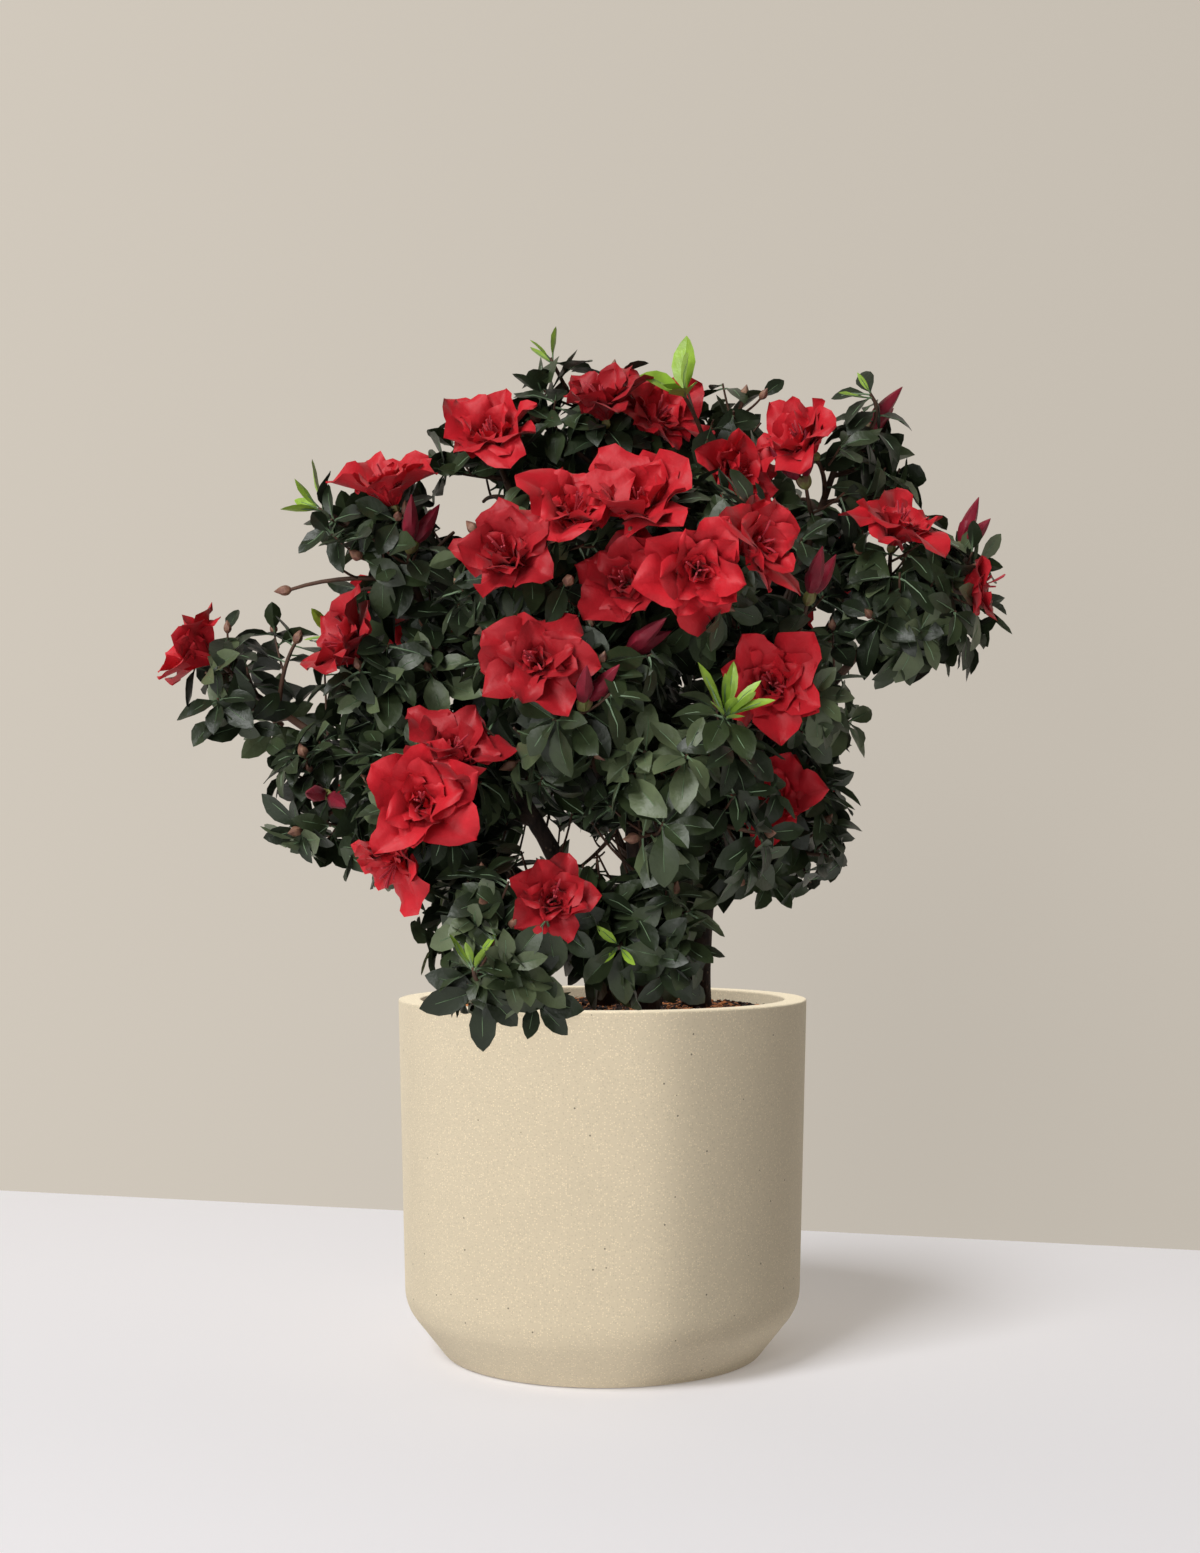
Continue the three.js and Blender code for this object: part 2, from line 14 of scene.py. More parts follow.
import bpy
import numpy as np
from bpy.props import FloatProperty, FloatVectorProperty, IntProperty, PointerProperty
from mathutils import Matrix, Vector

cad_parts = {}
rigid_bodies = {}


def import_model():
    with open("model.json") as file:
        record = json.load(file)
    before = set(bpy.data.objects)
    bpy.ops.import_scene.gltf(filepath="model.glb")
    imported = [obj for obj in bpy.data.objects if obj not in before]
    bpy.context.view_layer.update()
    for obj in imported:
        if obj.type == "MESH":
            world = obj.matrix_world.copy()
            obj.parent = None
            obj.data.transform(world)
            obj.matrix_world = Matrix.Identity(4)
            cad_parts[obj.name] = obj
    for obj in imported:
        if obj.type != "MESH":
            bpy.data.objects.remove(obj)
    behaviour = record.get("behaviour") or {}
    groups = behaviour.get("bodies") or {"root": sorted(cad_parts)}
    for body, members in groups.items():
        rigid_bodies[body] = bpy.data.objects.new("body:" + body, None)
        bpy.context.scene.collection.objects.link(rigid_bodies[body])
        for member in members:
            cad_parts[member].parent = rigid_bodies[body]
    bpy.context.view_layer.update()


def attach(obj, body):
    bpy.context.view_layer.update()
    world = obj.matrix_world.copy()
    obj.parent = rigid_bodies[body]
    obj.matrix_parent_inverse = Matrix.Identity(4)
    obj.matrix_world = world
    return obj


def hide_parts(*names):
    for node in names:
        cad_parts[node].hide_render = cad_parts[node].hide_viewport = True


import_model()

bl_info = {
    "name": "Azalea shrub in a planter",
    "version": (1, 0, 0),
    "blender": (4, 5, 0),
    "location": "3D View > Sidebar > Azalea",
    "description": "Builds a flowering azalea shrub in a round cast planter",
    "category": "Add Mesh",
}

MM = 0.001
UP = np.array([0.0, 0.0, 1.0])
GOLDEN_ANGLE = math.pi * (3 - math.sqrt(5))

# ------------------------------------------------------------------ sizes shared with the solids

TOUCH_GAP = 0.3

PLANTER = SimpleNamespace(
    height=242, rim_radius=140, shoulder_radius=135.5, shoulder_height=35, shoulder_round=11,
    foot_radius=108, wall=15, floor=20, edge=1.5,
)
SOIL_TOP = PLANTER.height - 8

BARK = SimpleNamespace(bough_root=4.2, bough_tip=2.8, flare_length=14)
TWIG = SimpleNamespace(stem_root=2.8, stem_tip=2.3, shoot_root=1.1, shoot_tip=1.3)

# How far the tip of a named shoot stays inside its mass. A bare twig ends in a leaf bud, and a stalk
# carries only the leaves that hang over the rim.
INSET = {"bloom": 24, "bud": 34, "sprig": 6, "bare": 0, "stalk": 0}


def trunk(foot, tip, root, end, flare):
    """A trunk that stands on the potting mix at foot, leans out, and ends at tip."""
    return SimpleNamespace(foot=foot, tip=tip, root=root, end=end, flare=flare)


TRUNKS = {
    "right": trunk((66, 8), (88, -12, 440), 8.2, 4.6, 4),
    "middle": trunk((30, -6), (6, -22, 500), 9, 4.4, 4.5),
    "left": trunk((2, 4), (-84, -14, 430), 8, 4.4, 4),
    "front": trunk((30, -42), (22, -78, 318), 7, 4.4, 3.5),
    "back": trunk((34, 42), (14, 78, 430), 8.4, 4.4, 4),
}


def named(kind):
    """A maker of named shoots of one kind, each at a turn and rise in its mass."""

    def make(turn, rise, faces=None, out=0, opens=-12, size=1.0, leaves=8, broad=0.6):
        return SimpleNamespace(
            kind=kind, at=(turn, rise), faces=faces or (turn, rise), out=out, opens=opens, size=size,
            leaves=leaves, broad=broad,
        )

    return make


bloom, bud, sprig, bare, stalk = (named(kind) for kind in INSET)


def mass(centre, radius, trunk_name, forks, seed, *shows):
    """A mass of foliage, whose bough leaves its trunk at the share `forks` of the trunk's height."""
    middle = np.array(centre, float)
    return SimpleNamespace(
        middle=middle, radius=radius, trunk=trunk_name, forks=forks, seed=seed, shows=shows
    )


MASSES = {
    "far_left": mass((-238, -10, 450), 62, "left", 0.64, 731, bloom(-147, 36, faces=(-166, 30), out=2)),
    "left_low": mass((-180, -40, 380), 56, "left", 0.42, 212, bud(-95, 0)),
    "left_front": mass((-107, -120, 364), 70, "left", 0.28, 293,
        bloom(-67, 45, size=0.95), bloom(-92, 7), bloom(-110, -30, faces=(-135, -40), out=4, size=0.85)),
    "left_mid": mass((-137, -56, 460), 60, "left", 0.8, 94,
        bloom(-126, 17, faces=(-150, 30)), sprig(165, 30, leaves=3, size=0.8)),
    "left_upper": mass((-132, -62, 540), 68, "left", 1, 135,
        bloom(-96, 40, faces=(-120, 60)), bud(-77, -9, faces=(-77, 60)), sprig(180, 27, leaves=4)),
    "top_left": mass((-70, -20, 606), 54, "middle", 0.7, 336, bloom(-93, 8, faces=(-104, 42), size=1.1)),
    "top": mass((-6, 0, 622), 68, "middle", 1, 97,
        bloom(-80, 18, faces=(-110, 55)), bloom(-24, 12, faces=(-60, 35)),
        sprig(180, 64, out=6, leaves=3, size=0.85)),
    "top_right": mass((82, -5, 616), 66, "middle", 0.9, 98,
        bloom(-88, -37, faces=(-60, 5)), sprig(-120, 27, out=4, leaves=5, broad=1.0, size=1.2)),
    "front_upper_left": mass((-38, -140, 517), 70, "middle", 0.58, 459,
        bloom(-112, -3, faces=(-104, 18)), bloom(-60, 30, faces=(-80, 36))),
    "front_upper_right": mass((54, -140, 519), 74, "middle", 0.8, 340,
        bloom(-140, 32, faces=(-96, 34), size=1.08), bloom(-145, -18, faces=(-100, 5), size=0.95),
        bloom(-88, -12), bloom(-50, 4, faces=(-44, 14), size=0.92)),
    "front_mid": mass((-19, -148, 435), 76, "middle", 0.46, 581,
        bloom(-113, 19, faces=(-97, 8), opens=6), bud(-30, 36), bud(-81, -12, faces=(-81, 40))),
    "right_upper": mass((158, -15, 602), 66, "right", 1, 182,
        bloom(-120, 10, faces=(-140, 30)), bud(-10, 52), bud(-121, -22, faces=(-110, 60), out=16)),
    "right": mass((203, -25, 513), 74, "right", 0.78, 343,
        bloom(-107, 46, faces=(-70, 50)), bloom(-40, 4, faces=(-14, 4), size=0.66),
        bud(-5, 40, faces=(-20, 62), out=8)),
    "right_mid": mass((110, -100, 445), 62, "right", 0.56, 184,
        bloom(-97, -2, faces=(-92, 4)), bud(-48, 62, faces=(-70, 60), out=32)),
    "right_low": mass((112, -60, 355), 64, "right", 0.34, 585, bloom(-92, 30, faces=(-98, 14), size=0.92)),
    "front_right": mass((57, -140, 376), 74, "front", 1, 386,
        sprig(-70, 44, leaves=11, broad=0.5, size=1.05)),
    "front_low": mass((28, -104, 290), 56, "front", 0.4, 67),
    "rim_left": mass((-58, -134, 292), 68, "front", 0.72, 395, bloom(-46, 26, faces=(-84, 12), size=0.76)),
    "back_low_left": mass((-118, 84, 375), 76, "back", 0.26, 391, bloom(140, 10)),
    "back_low": mass((8, 142, 365), 76, "back", 0.5, 512, bloom(95, 38)),
    "back_low_right": mass((132, 72, 382), 76, "back", 0.38, 633, bloom(75, 5)),
    "back_high_left": mass((-122, 80, 500), 76, "back", 0.74, 514, bloom(132, 30), bloom(110, -12)),
    "back_high": mass((0, 138, 500), 80, "back", 0.86, 475, bloom(60, 20), bloom(120, -5)),
    "back_high_right": mass((122, 84, 510), 80, "back", 0.62, 596, bloom(20, 30), bloom(80, 0)),
    "back_top": mass((30, 90, 592), 70, "back", 1, 37, bloom(100, 40), bloom(40, 55)),
}
MIDDLES = np.array([m.middle for m in MASSES.values()])
RADII = np.array([m.radius for m in MASSES.values()], float)

# Passages right through the crown, front to back, that no leaf closes: two ends and a radius.
PASSAGES = [
    ((-79, -190, 546), (-104, 200, 615), 18),
    ((-15, -190, 345), (-20, 200, 350), 10),
    ((131, -190, 563), (174, 200, 640), 9),
]

# Narrower gaps that only the leaves leave open.
GAPS = [
    ((-40, -190, 349), (-53, 200, 355), 7), ((6, -190, 337), (8, 200, 339), 6),
    ((18, -190, 348), (24, 200, 354), 5), ((-49, -190, 327), (-65, 200, 326), 4),
    ((106, -190, 582), (141, 200, 665), 6), ((131, -190, 554), (175, 200, 627), 5),
    ((-34, -190, 551), (-45, 200, 624), 4), ((130, -190, 483), (172, 200, 533), 5),
    ((167, -190, 532), (221, 200, 598), 4), ((173, -190, 514), (230, 200, 575), 4),
    ((-123, -190, 470), (-163, 200, 515), 4), ((-148, -190, 512), (-197, 200, 572), 6),
]

# Places at the crown's edge that no leaf fills: a middle and a radius.
OPEN_SPOTS = [
    ((-256, -10, 402), 34), ((-172, -60, 316), 34), ((-190, -55, 524), 25), ((150, -60, 290), 30),
    ((112, -5, 664), 30), ((268, -30, 470), 18), ((-205, -40, 500), 24), ((214, -15, 618), 20),
    ((-268, -10, 428), 26), ((-218, -40, 334), 18), ((98, -60, 294), 28), ((106, 20, 288), 30),
    ((112, 84, 280), 32), ((150, -15, 664), 28), ((192, 66, 450), 28), ((190, 66, 405), 26),
    ((198, 60, 500), 24), ((-150, -110, 300), 26), ((264, -30, 515), 12), ((184, -60, 352), 24),
    ((190, 72, 352), 26), ((176, -90, 400), 22), ((186, 16, 400), 26), ((183, 10, 446), 24),
    ((194, 116, 400), 28), ((84, -90, 278), 20),
]

# How much of the full count of twigs and leaves the thinner masses bear.
SPARSE = {
    "far_left": 0.5, "left_low": 0.6, "left_upper": 0.8, "right_upper": 0.75, "left_mid": 0.85,
    "top_left": 0.8, "top_right": 0.8, "top": 0.9,
}

# Side twigs on each shoot in the fuller masses.
FULLER = {"right": 6, "rim_left": 6, "front_low": 6}

# Shoots that grow beyond the ones in the solids: tips of young leaves, stalks and a bare twig.
LATER = {
    "rim_left": [
        sprig(-111, -20, faces=(-100, 75), out=-4, leaves=5, broad=0.55, size=0.95),
        stalk(-115, -43, out=-17), stalk(-45, -62, out=-20),
    ],
    "front_low": [sprig(-113, -10, faces=(-100, -20), out=-2, leaves=3, broad=0.5, size=0.8)],
    "left_upper": [bare(175, -18, out=11)],
    "right_upper": [sprig(-60, 48, faces=(-150, 40), leaves=2, broad=0.5, size=0.8)],
}

# Leaves that hang over the planter's rim: where each starts, the way it lies, and its size.
HANGING = [
    ((-74, -168, 256), (0.08, -0.1, -1), 1.1), ((-75, -168, 257), (-1, -0.2, -0.32), 1.12),
    ((-75, -168, 259), (-1, -0.2, 0.22), 1.0), ((-73, -168, 257), (0.8, -0.2, -0.75), 0.95),
    ((-73, -168, 259), (1, -0.3, -0.1), 0.9), ((-41, -150, 249), (0.72, -0.3, -0.7), 0.85),
    ((-41, -150, 250), (1, -0.35, -0.2), 0.9), ((-42, -150, 249), (-0.15, -0.4, -1), 0.7),
    ((-42, -150, 251), (0.4, -0.8, 0.3), 0.85),
]

GROWTH = SimpleNamespace(
    shoots=5,  # leafy shoots in a mass, besides those that end in a bloom or a bud
    spread=1.55,  # how far round the stem the shoots reach: 2 would be right round to its root
    wander=0.7,  # how far a shoot's turn may stray, in radians
    reach=0.6,  # where a leafy shoot ends, as a share of the ball's radius
    uneven=0.16,  # and how much further some go
    upturn=0.3,  # how strongly a leafy shoot's tip turns up
    curl=0.45,  # how early a shoot or bough bends to where it faces
    forks=(0.5, 0.4),  # the share of the stem where a shoot leaves it: midway, and how much it varies
    entry=0.78,  # where a bough meets its mass, as a share of the ball's radius
    dip=0.16,  # and how far below the straight way there
    past=0.3,  # how far the mass's stem goes on past the ball's middle
    aside=38,  # degrees that leafy shoots keep from a bloom
    mass_gap=1.2,  # kept between two masses
    limb_gap=1.5,  # kept between twigs and limbs
)

# ------------------------------------------------------------------ sizes of the finer growth

FINER = SimpleNamespace(
    side_twigs=4,  # on each shoot
    tries=3,  # for a place that is free
    span=(0.3, 0.6),  # the share of the shoot where they start, and the share they spread over
    length=(20, 34),  # in a mass with the usual radius
    usual_mass=68,
    lean=(36, 66),  # degrees off the shoot
    lift=0.22,  # of its length that a side twig's tip rises
    bends_at=0.55,  # of its length
    radius=(0.95, 0.75),
    whorl=(6, 8),  # leaves round a tip
    below=(2, 5),  # leaves further down
    more_below=3,  # on the shoots themselves
    spacing=6,
    margin=14,  # a side twig's tip keeps this far inside its mass
    turn_to_light=0.45,
    limb_gap=2,
)

# Leafy twigs straight off the boughs and trunks: how many, and over which shares of their length.
INNER = SimpleNamespace(
    per_bough=5, bough_span=(0.3, 0.95), per_trunk=7, trunk_span=(0.5, 0.97),
    lean=(50, 80), length=(34, 56), lift=0.35, lowest=330,
)
CROWN_HEART = np.array([0.0, 0.0, 450.0])

LEAF = SimpleNamespace(
    reach=30,  # how far a leaf is taken to reach when its place is tested
    whorl_opens=(40, 94),  # degrees off the twig, from the tip's youngest leaf down
    lower_opens=(60, 90),
    whorl_size=(0.7, 1.04),
    lower_size=(0.84, 1.06),
    hang=0.12,
    shares=np.array([0, 0.12, 0.31, 0.52, 0.73, 0.9, 1.0]),  # along the blade
    outline=np.array([0.05, 0.12, 0.70, 1.0, 0.88, 0.46, 0.03]),  # half its width there
    rib_rows=[0, 1, 3, 4],
    rib_radii=np.array([0.75, 0.7, 0.55, 0.3]),
    thickness=0.45,
)
TINTS = {"deep": 0.42, "mid": 0.4, "pale": 0.18}  # share of the sprays in each tint

# The space that leaves leave free in front of a bloom and round a bud.
BOWL = SimpleNamespace(near=8, far=60, throat=6, widens=1.5, widest=38)
BUD_ROOM = SimpleNamespace(start=8, end=44, radius=15)

# What lies on the potting mix: how many on a square metre, their length and thickness in metres, a seed.
CRUMB_INPUTS = ("Per square metre", "Length", "Thickness", "Seed", "Material")
CRUMBS = {
    "bark_chips": (16000.0, 0.0062, 0.0026, 3),
    "coir_fibres": (11000.0, 0.011, 0.0008, 8),
    "peat_crumbs": (22000.0, 0.0042, 0.0032, 12),
}


# ------------------------------------------------------------------ small helpers


def unit(vectors):
    """Vectors scaled to a length of one."""
    return vectors / np.maximum(np.linalg.norm(vectors, axis=-1, keepdims=True), 1e-12)


def direction(turn, rise):
    """A direction from its turn and rise."""
    turn, rise = math.radians(turn), math.radians(rise)
    level = math.cos(rise)
    return np.array([level * math.cos(turn), level * math.sin(turn), math.sin(rise)])


def square_to(axes):
    """Two directions square to each axis and to each other."""
    upright = np.abs(axes[..., 2:]) >= 0.9
    helper = np.where(upright, [1.0, 0.0, 0.0], [0.0, 0.0, 1.0])
    side = unit(np.cross(helper, axes))
    return side, np.cross(axes, side)


def swung(side, other, turn):
    """A direction between two that are square to each other, by a turn in radians."""
    return side * math.cos(turn) + other * math.sin(turn)


def seeded(seed):
    """The seeded source of numbers from 0 to 1 that the solids use too."""
    state = seed * 7919

    def draw():
        nonlocal state
        state = (state * 1664525 + 1013904223) % 4294967296
        return state / 4294967296

    return draw


def along(curves, shares):
    """Points at these shares of Bezier curves, each given by its corners."""
    shares = np.asarray(shares, float)[:, None, None]
    points = np.asarray(curves, float)[..., None, :, :]
    while points.shape[-2] > 1:
        points = points[..., :-1, :] * (1 - shares) + points[..., 1:, :] * shares
    return points[..., 0, :]


def headings(curves, shares):
    """Directions of Bezier curves at these shares."""
    return unit(along(np.diff(curves, axis=-2), shares))


def ripple(points, size, seed, waves=9):
    """A smooth uneven height from -1 to 1 over space, with bumps about `size` across."""
    rng = np.random.default_rng(seed)
    ways = unit(rng.normal(size=(waves, 3))) * rng.uniform(0.6, 1.7, (waves, 1)) * math.pi / size
    starts = rng.uniform(0, 2 * math.pi, waves)
    return np.sin(points @ ways.T + starts).sum(-1) / math.sqrt(waves * 2)


def linear(hex_colour):
    """An sRGB hex colour as linear red, green and blue."""
    parts = [int(hex_colour[i : i + 2], 16) / 255 for i in (1, 3, 5)]
    return tuple(c / 12.92 if c <= 0.04045 else ((c + 0.055) / 1.055) ** 2.4 for c in parts)


# ------------------------------------------------------------------ meshes from arrays


def in_scene(name, data):
    """A new object with this data, in the scene."""
    made = bpy.data.objects.new(name, data)
    bpy.context.scene.collection.objects.link(made)
    return made


def joined(points, triangles):
    """Many shapes with the same triangles, as one list of points and one of triangles."""
    count, size = points.shape[:2]
    shifts = (np.arange(count) * size)[:, None, None]
    return points.reshape(-1, 3), (triangles[None] + shifts).reshape(-1, 3)


def together(shapes):
    """Several (points, triangles) as one."""
    points, triangles, start = [], [], 0
    for some, faces in shapes:
        points.append(some)
        triangles.append(faces + start)
        start += len(some)
    return np.concatenate(points), np.concatenate(triangles)


def grid_triangles(index, around=False):
    """Triangles over a grid of point numbers, closed round its columns if asked."""
    if around:
        index = np.concatenate([index, index[:, :1]], axis=1)
    a, b, c, d = index[:-1, :-1], index[:-1, 1:], index[1:, 1:], index[1:, :-1]
    return np.concatenate([np.stack([a, b, c], -1), np.stack([a, c, d], -1)]).reshape(-1, 3)


def blade_triangles(index):
    """Triangles over a grid, cut so that none has all its corners on the grid's border."""
    a, b, c, d = index[:-1, :-1], index[:-1, 1:], index[1:, 1:], index[1:, :-1]
    rows, columns = a.shape
    same = ((np.arange(rows)[:, None] < rows / 2) == (np.arange(columns) < columns / 2))[..., None]
    first = np.where(same, np.stack([a, b, c], -1), np.stack([a, b, d], -1))
    second = np.where(same, np.stack([a, c, d], -1), np.stack([b, c, d], -1))
    return np.concatenate([first.reshape(-1, 3), second.reshape(-1, 3)])


def skinned(rings):
    """Closed tubes over rings of points (count x steps x sides x 3), each end drawn to a point."""
    count, steps, sides = rings.shape[:3]
    ends = rings[:, [0, -1]].mean(axis=2)
    index = np.arange(steps * sides).reshape(steps, sides)
    first, last = steps * sides, steps * sides + 1
    below = [(index[0, (k + 1) % sides], index[0, k], first) for k in range(sides)]
    above = [(index[-1, k], index[-1, (k + 1) % sides], last) for k in range(sides)]
    triangles = np.concatenate([grid_triangles(index, around=True), below, above])
    return joined(np.concatenate([rings.reshape(count, -1, 3), ends], axis=1), triangles)


def rings_along(curves, radii, sides):
    """Rings of points round Bezier curves, with one radius for each step."""
    shares = np.linspace(0, 1, radii.shape[-1])
    points, onward = along(curves, shares), headings(curves, shares)
    side = square_to(onward[:, len(shares) // 2])[0][:, None]
    other = unit(np.cross(onward, side))
    side = np.cross(other, onward)
    angle = np.arange(sides) * 2 * math.pi / sides
    round_it = side[:, :, None] * np.cos(angle)[:, None] + other[:, :, None] * np.sin(angle)[:, None]
    radii = radii[..., None, None] if radii.ndim == 2 else radii[..., None]
    return points[:, :, None] + round_it * radii


def thin_blades(tops, thickness):
    """Closed thin blades from grids of points (count x rows x columns x 3) that give their faces."""
    count, rows, columns = tops.shape[:3]
    facing = unit(np.cross(np.gradient(tops, axis=2), np.gradient(tops, axis=1)))
    backs = (tops - facing * thickness)[:, 1:-1, 1:-1].reshape(count, -1, 3)
    front = np.arange(rows * columns).reshape(rows, columns)
    back = front.copy()
    back[1:-1, 1:-1] = rows * columns + np.arange((rows - 2) * (columns - 2)).reshape(rows - 2, -1)
    triangles = np.concatenate([blade_triangles(front), blade_triangles(back)[:, ::-1]])
    return joined(np.concatenate([tops.reshape(count, -1, 3), backs], axis=1), triangles)


def add_piece(name, shape, material, crease, replaced=()):
    """Makes a mesh object from (points, triangles) in millimetres, and rides it on the plant's body."""
    points, triangles = shape
    mesh = bpy.data.meshes.new(name)
    mesh.vertices.add(len(points))
    mesh.vertices.foreach_set("co", np.asarray(points * MM, np.float32).ravel())
    mesh.loops.add(len(triangles) * 3)
    mesh.loops.foreach_set("vertex_index", triangles.astype(np.int32).ravel())
    mesh.polygons.add(len(triangles))
    mesh.polygons.foreach_set("loop_start", np.arange(0, len(triangles) * 3, 3, dtype=np.int32))
    mesh.polygons.foreach_set("use_smooth", np.ones(len(triangles), bool))
    mesh.update(calc_edges=True)
    mesh.set_sharp_from_angle(angle=math.radians(crease))
    mesh.materials.append(material)
    carry(in_scene(name, mesh), replaced)


def carry(piece, replaced=()):
    """Rides a finished piece on the plant's one body."""
    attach(piece, "root")
    if replaced:
        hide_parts(*replaced)


# ------------------------------------------------------------------ stems, boughs and free space


def trunk_curve(stem):
    """A trunk's middle line: upright at the soil, then leaning out to its tip."""
    base = np.array([*stem.foot, SOIL_TOP + TOUCH_GAP], float)
    end = np.array(stem.tip, float)
    rise = end[2] - base[2]
    early = base + UP * rise * 0.35
    late = end + (base - end) * 0.3 + UP * rise * 0.02
    return np.array([base, early, late, end])


def trunk_radii(stem, shares, length):
    """A trunk's radius: a taper, with the flare at the soil added."""
    flare = stem.flare * np.exp(-shares * length / BARK.flare_length)
    return stem.root + (stem.end - stem.root) * shares + flare


def curve_length(curve):
    """The length of one Bezier curve."""
    points = along(curve, np.linspace(0, 1, 60))
    return float(np.linalg.norm(np.diff(points, axis=0), axis=1).sum())


def bough_curve(leafy, trunk_line):
    """A bough's middle line: out from inside its trunk, then up to where it meets its mass."""
    start = along(trunk_line, [leafy.forks])[0]
    inward = unit(start - leafy.middle)
    end = leafy.middle + inward * leafy.radius * GROWTH.entry
    end[2] -= leafy.radius * GROWTH.dip
    onward = unit(leafy.middle - end)
    bend = end - onward * np.linalg.norm(start - end) * GROWTH.curl
    return np.array([start, bend, end])


def stem_line(leafy, bough):
    """The short stem of a mass, from its bough's tip straight through the ball's middle."""
    onward = unit(leafy.middle - bough[-1])
    return np.array([bough[-1] + onward * TOUCH_GAP, leafy.middle + onward * leafy.radius * GROWTH.past])


@functools.cache
def limbs():
    """Every trunk, bough and stem, and all of them as short straight pieces with radii."""
    trunks = {name: trunk_curve(stem) for name, stem in TRUNKS.items()}
    boughs = {name: bough_curve(leafy, trunks[leafy.trunk]) for name, leafy in MASSES.items()}
    stems = {name: stem_line(leafy, boughs[name]) for name, leafy in MASSES.items()}
    shares = np.linspace(0, 1, 13)
    taper = BARK.bough_root + (BARK.bough_tip - BARK.bough_root) * shares
    thin = TWIG.stem_root + (TWIG.stem_tip - TWIG.stem_root) * shares
    rows = []
    for name, curve in trunks.items():
        radii = trunk_radii(TRUNKS[name], shares, curve_length(curve))
        rows.append((-1, along(curve, shares), radii))
    for number, name in enumerate(MASSES):
        rows.append((-1, along(boughs[name], shares), taper))
        rows.append((number, along(stems[name], shares), thin))
    owners = np.repeat([row[0] for row in rows], 12)
    starts = np.concatenate([row[1][:-1] for row in rows])
    ends = np.concatenate([row[1][1:] for row in rows])
    radii = np.concatenate([np.maximum(row[2][:-1], row[2][1:]) for row in rows])
    return SimpleNamespace(
        trunks=trunks, boughs=boughs, stems=stems, owners=owners, starts=starts, ends=ends, radii=radii
    )


def from_lines(points, starts, ends):
    """How far each point lies from each straight piece (points x pieces)."""
    runs = ends - starts
    share = ((points[:, None] - starts) * runs).sum(-1) / (runs**2).sum(-1)
    nearest = starts + runs * np.clip(share, 0, 1)[..., None]
    return np.linalg.norm(points[:, None] - nearest, axis=-1)


def on_own_side(number, points, gap):
    """Whether points lie on a mass's side of the planes that part it from its neighbours."""
    power = ((points[:, None] - MIDDLES) ** 2).sum(-1) - RADII**2
    apart = np.linalg.norm(MIDDLES - MIDDLES[number], axis=1)
    return (power[:, number, None] + gap * apart <= power + 1e-6).all(axis=1)


def clear_of_limbs(number, points, gap):
    """Whether points are clear of every limb but the mass's own stem."""
    wood = limbs()
    others = wood.owners != number
    away = from_lines(points, wood.starts[others], wood.ends[others])
    return (away > wood.radii[others] + gap).all(axis=1)


def clear_of_passages(points, room=0.0):
    """Whether points are out of the passages and gaps that stay open, with room to spare."""
    starts, ends, radii = (np.array(part, float) for part in zip(*PASSAGES, *GAPS))
    return (from_lines(points, starts, ends) > radii + room).all(axis=1)


def clear_of_open_spots(points):
    """Whether points are out of the places at the crown's edge that stay open."""
    places, radii = (np.array(part, float) for part in zip(*OPEN_SPOTS))
    return (np.linalg.norm(points[:, None] - places, axis=-1) > radii).all(axis=1)


def clear_of_planter(points, room=3):
    """Whether points are clear of the planter's rim and of the potting mix."""
    out, high = np.hypot(points[:, 0], points[:, 1]), points[:, 2]
    inside = out < PLANTER.rim_radius - PLANTER.wall - room - 1
    outside = (out > PLANTER.rim_radius + room) & (high > PLANTER.height - 5)
    return (high > PLANTER.height + room) | np.where(inside, high > SOIL_TOP + room, outside)


def free_for_twig(number, points):
    """Whether a twig through these points is clear of the limbs and of the places that stay open."""
    return (
        clear_of_limbs(number, points, FINER.limb_gap).all()
        and clear_of_passages(points).all()
        and clear_of_open_spots(points).all()
    )


def inside_crown(points, proud):
    """Whether points lie in some mass's ball, or no further outside it than `proud`."""
    away = np.linalg.norm(points[:, None] - MIDDLES, axis=-1)
    return (away <= RADII + proud).any(axis=1)


# ------------------------------------------------------------------ shoots and twigs


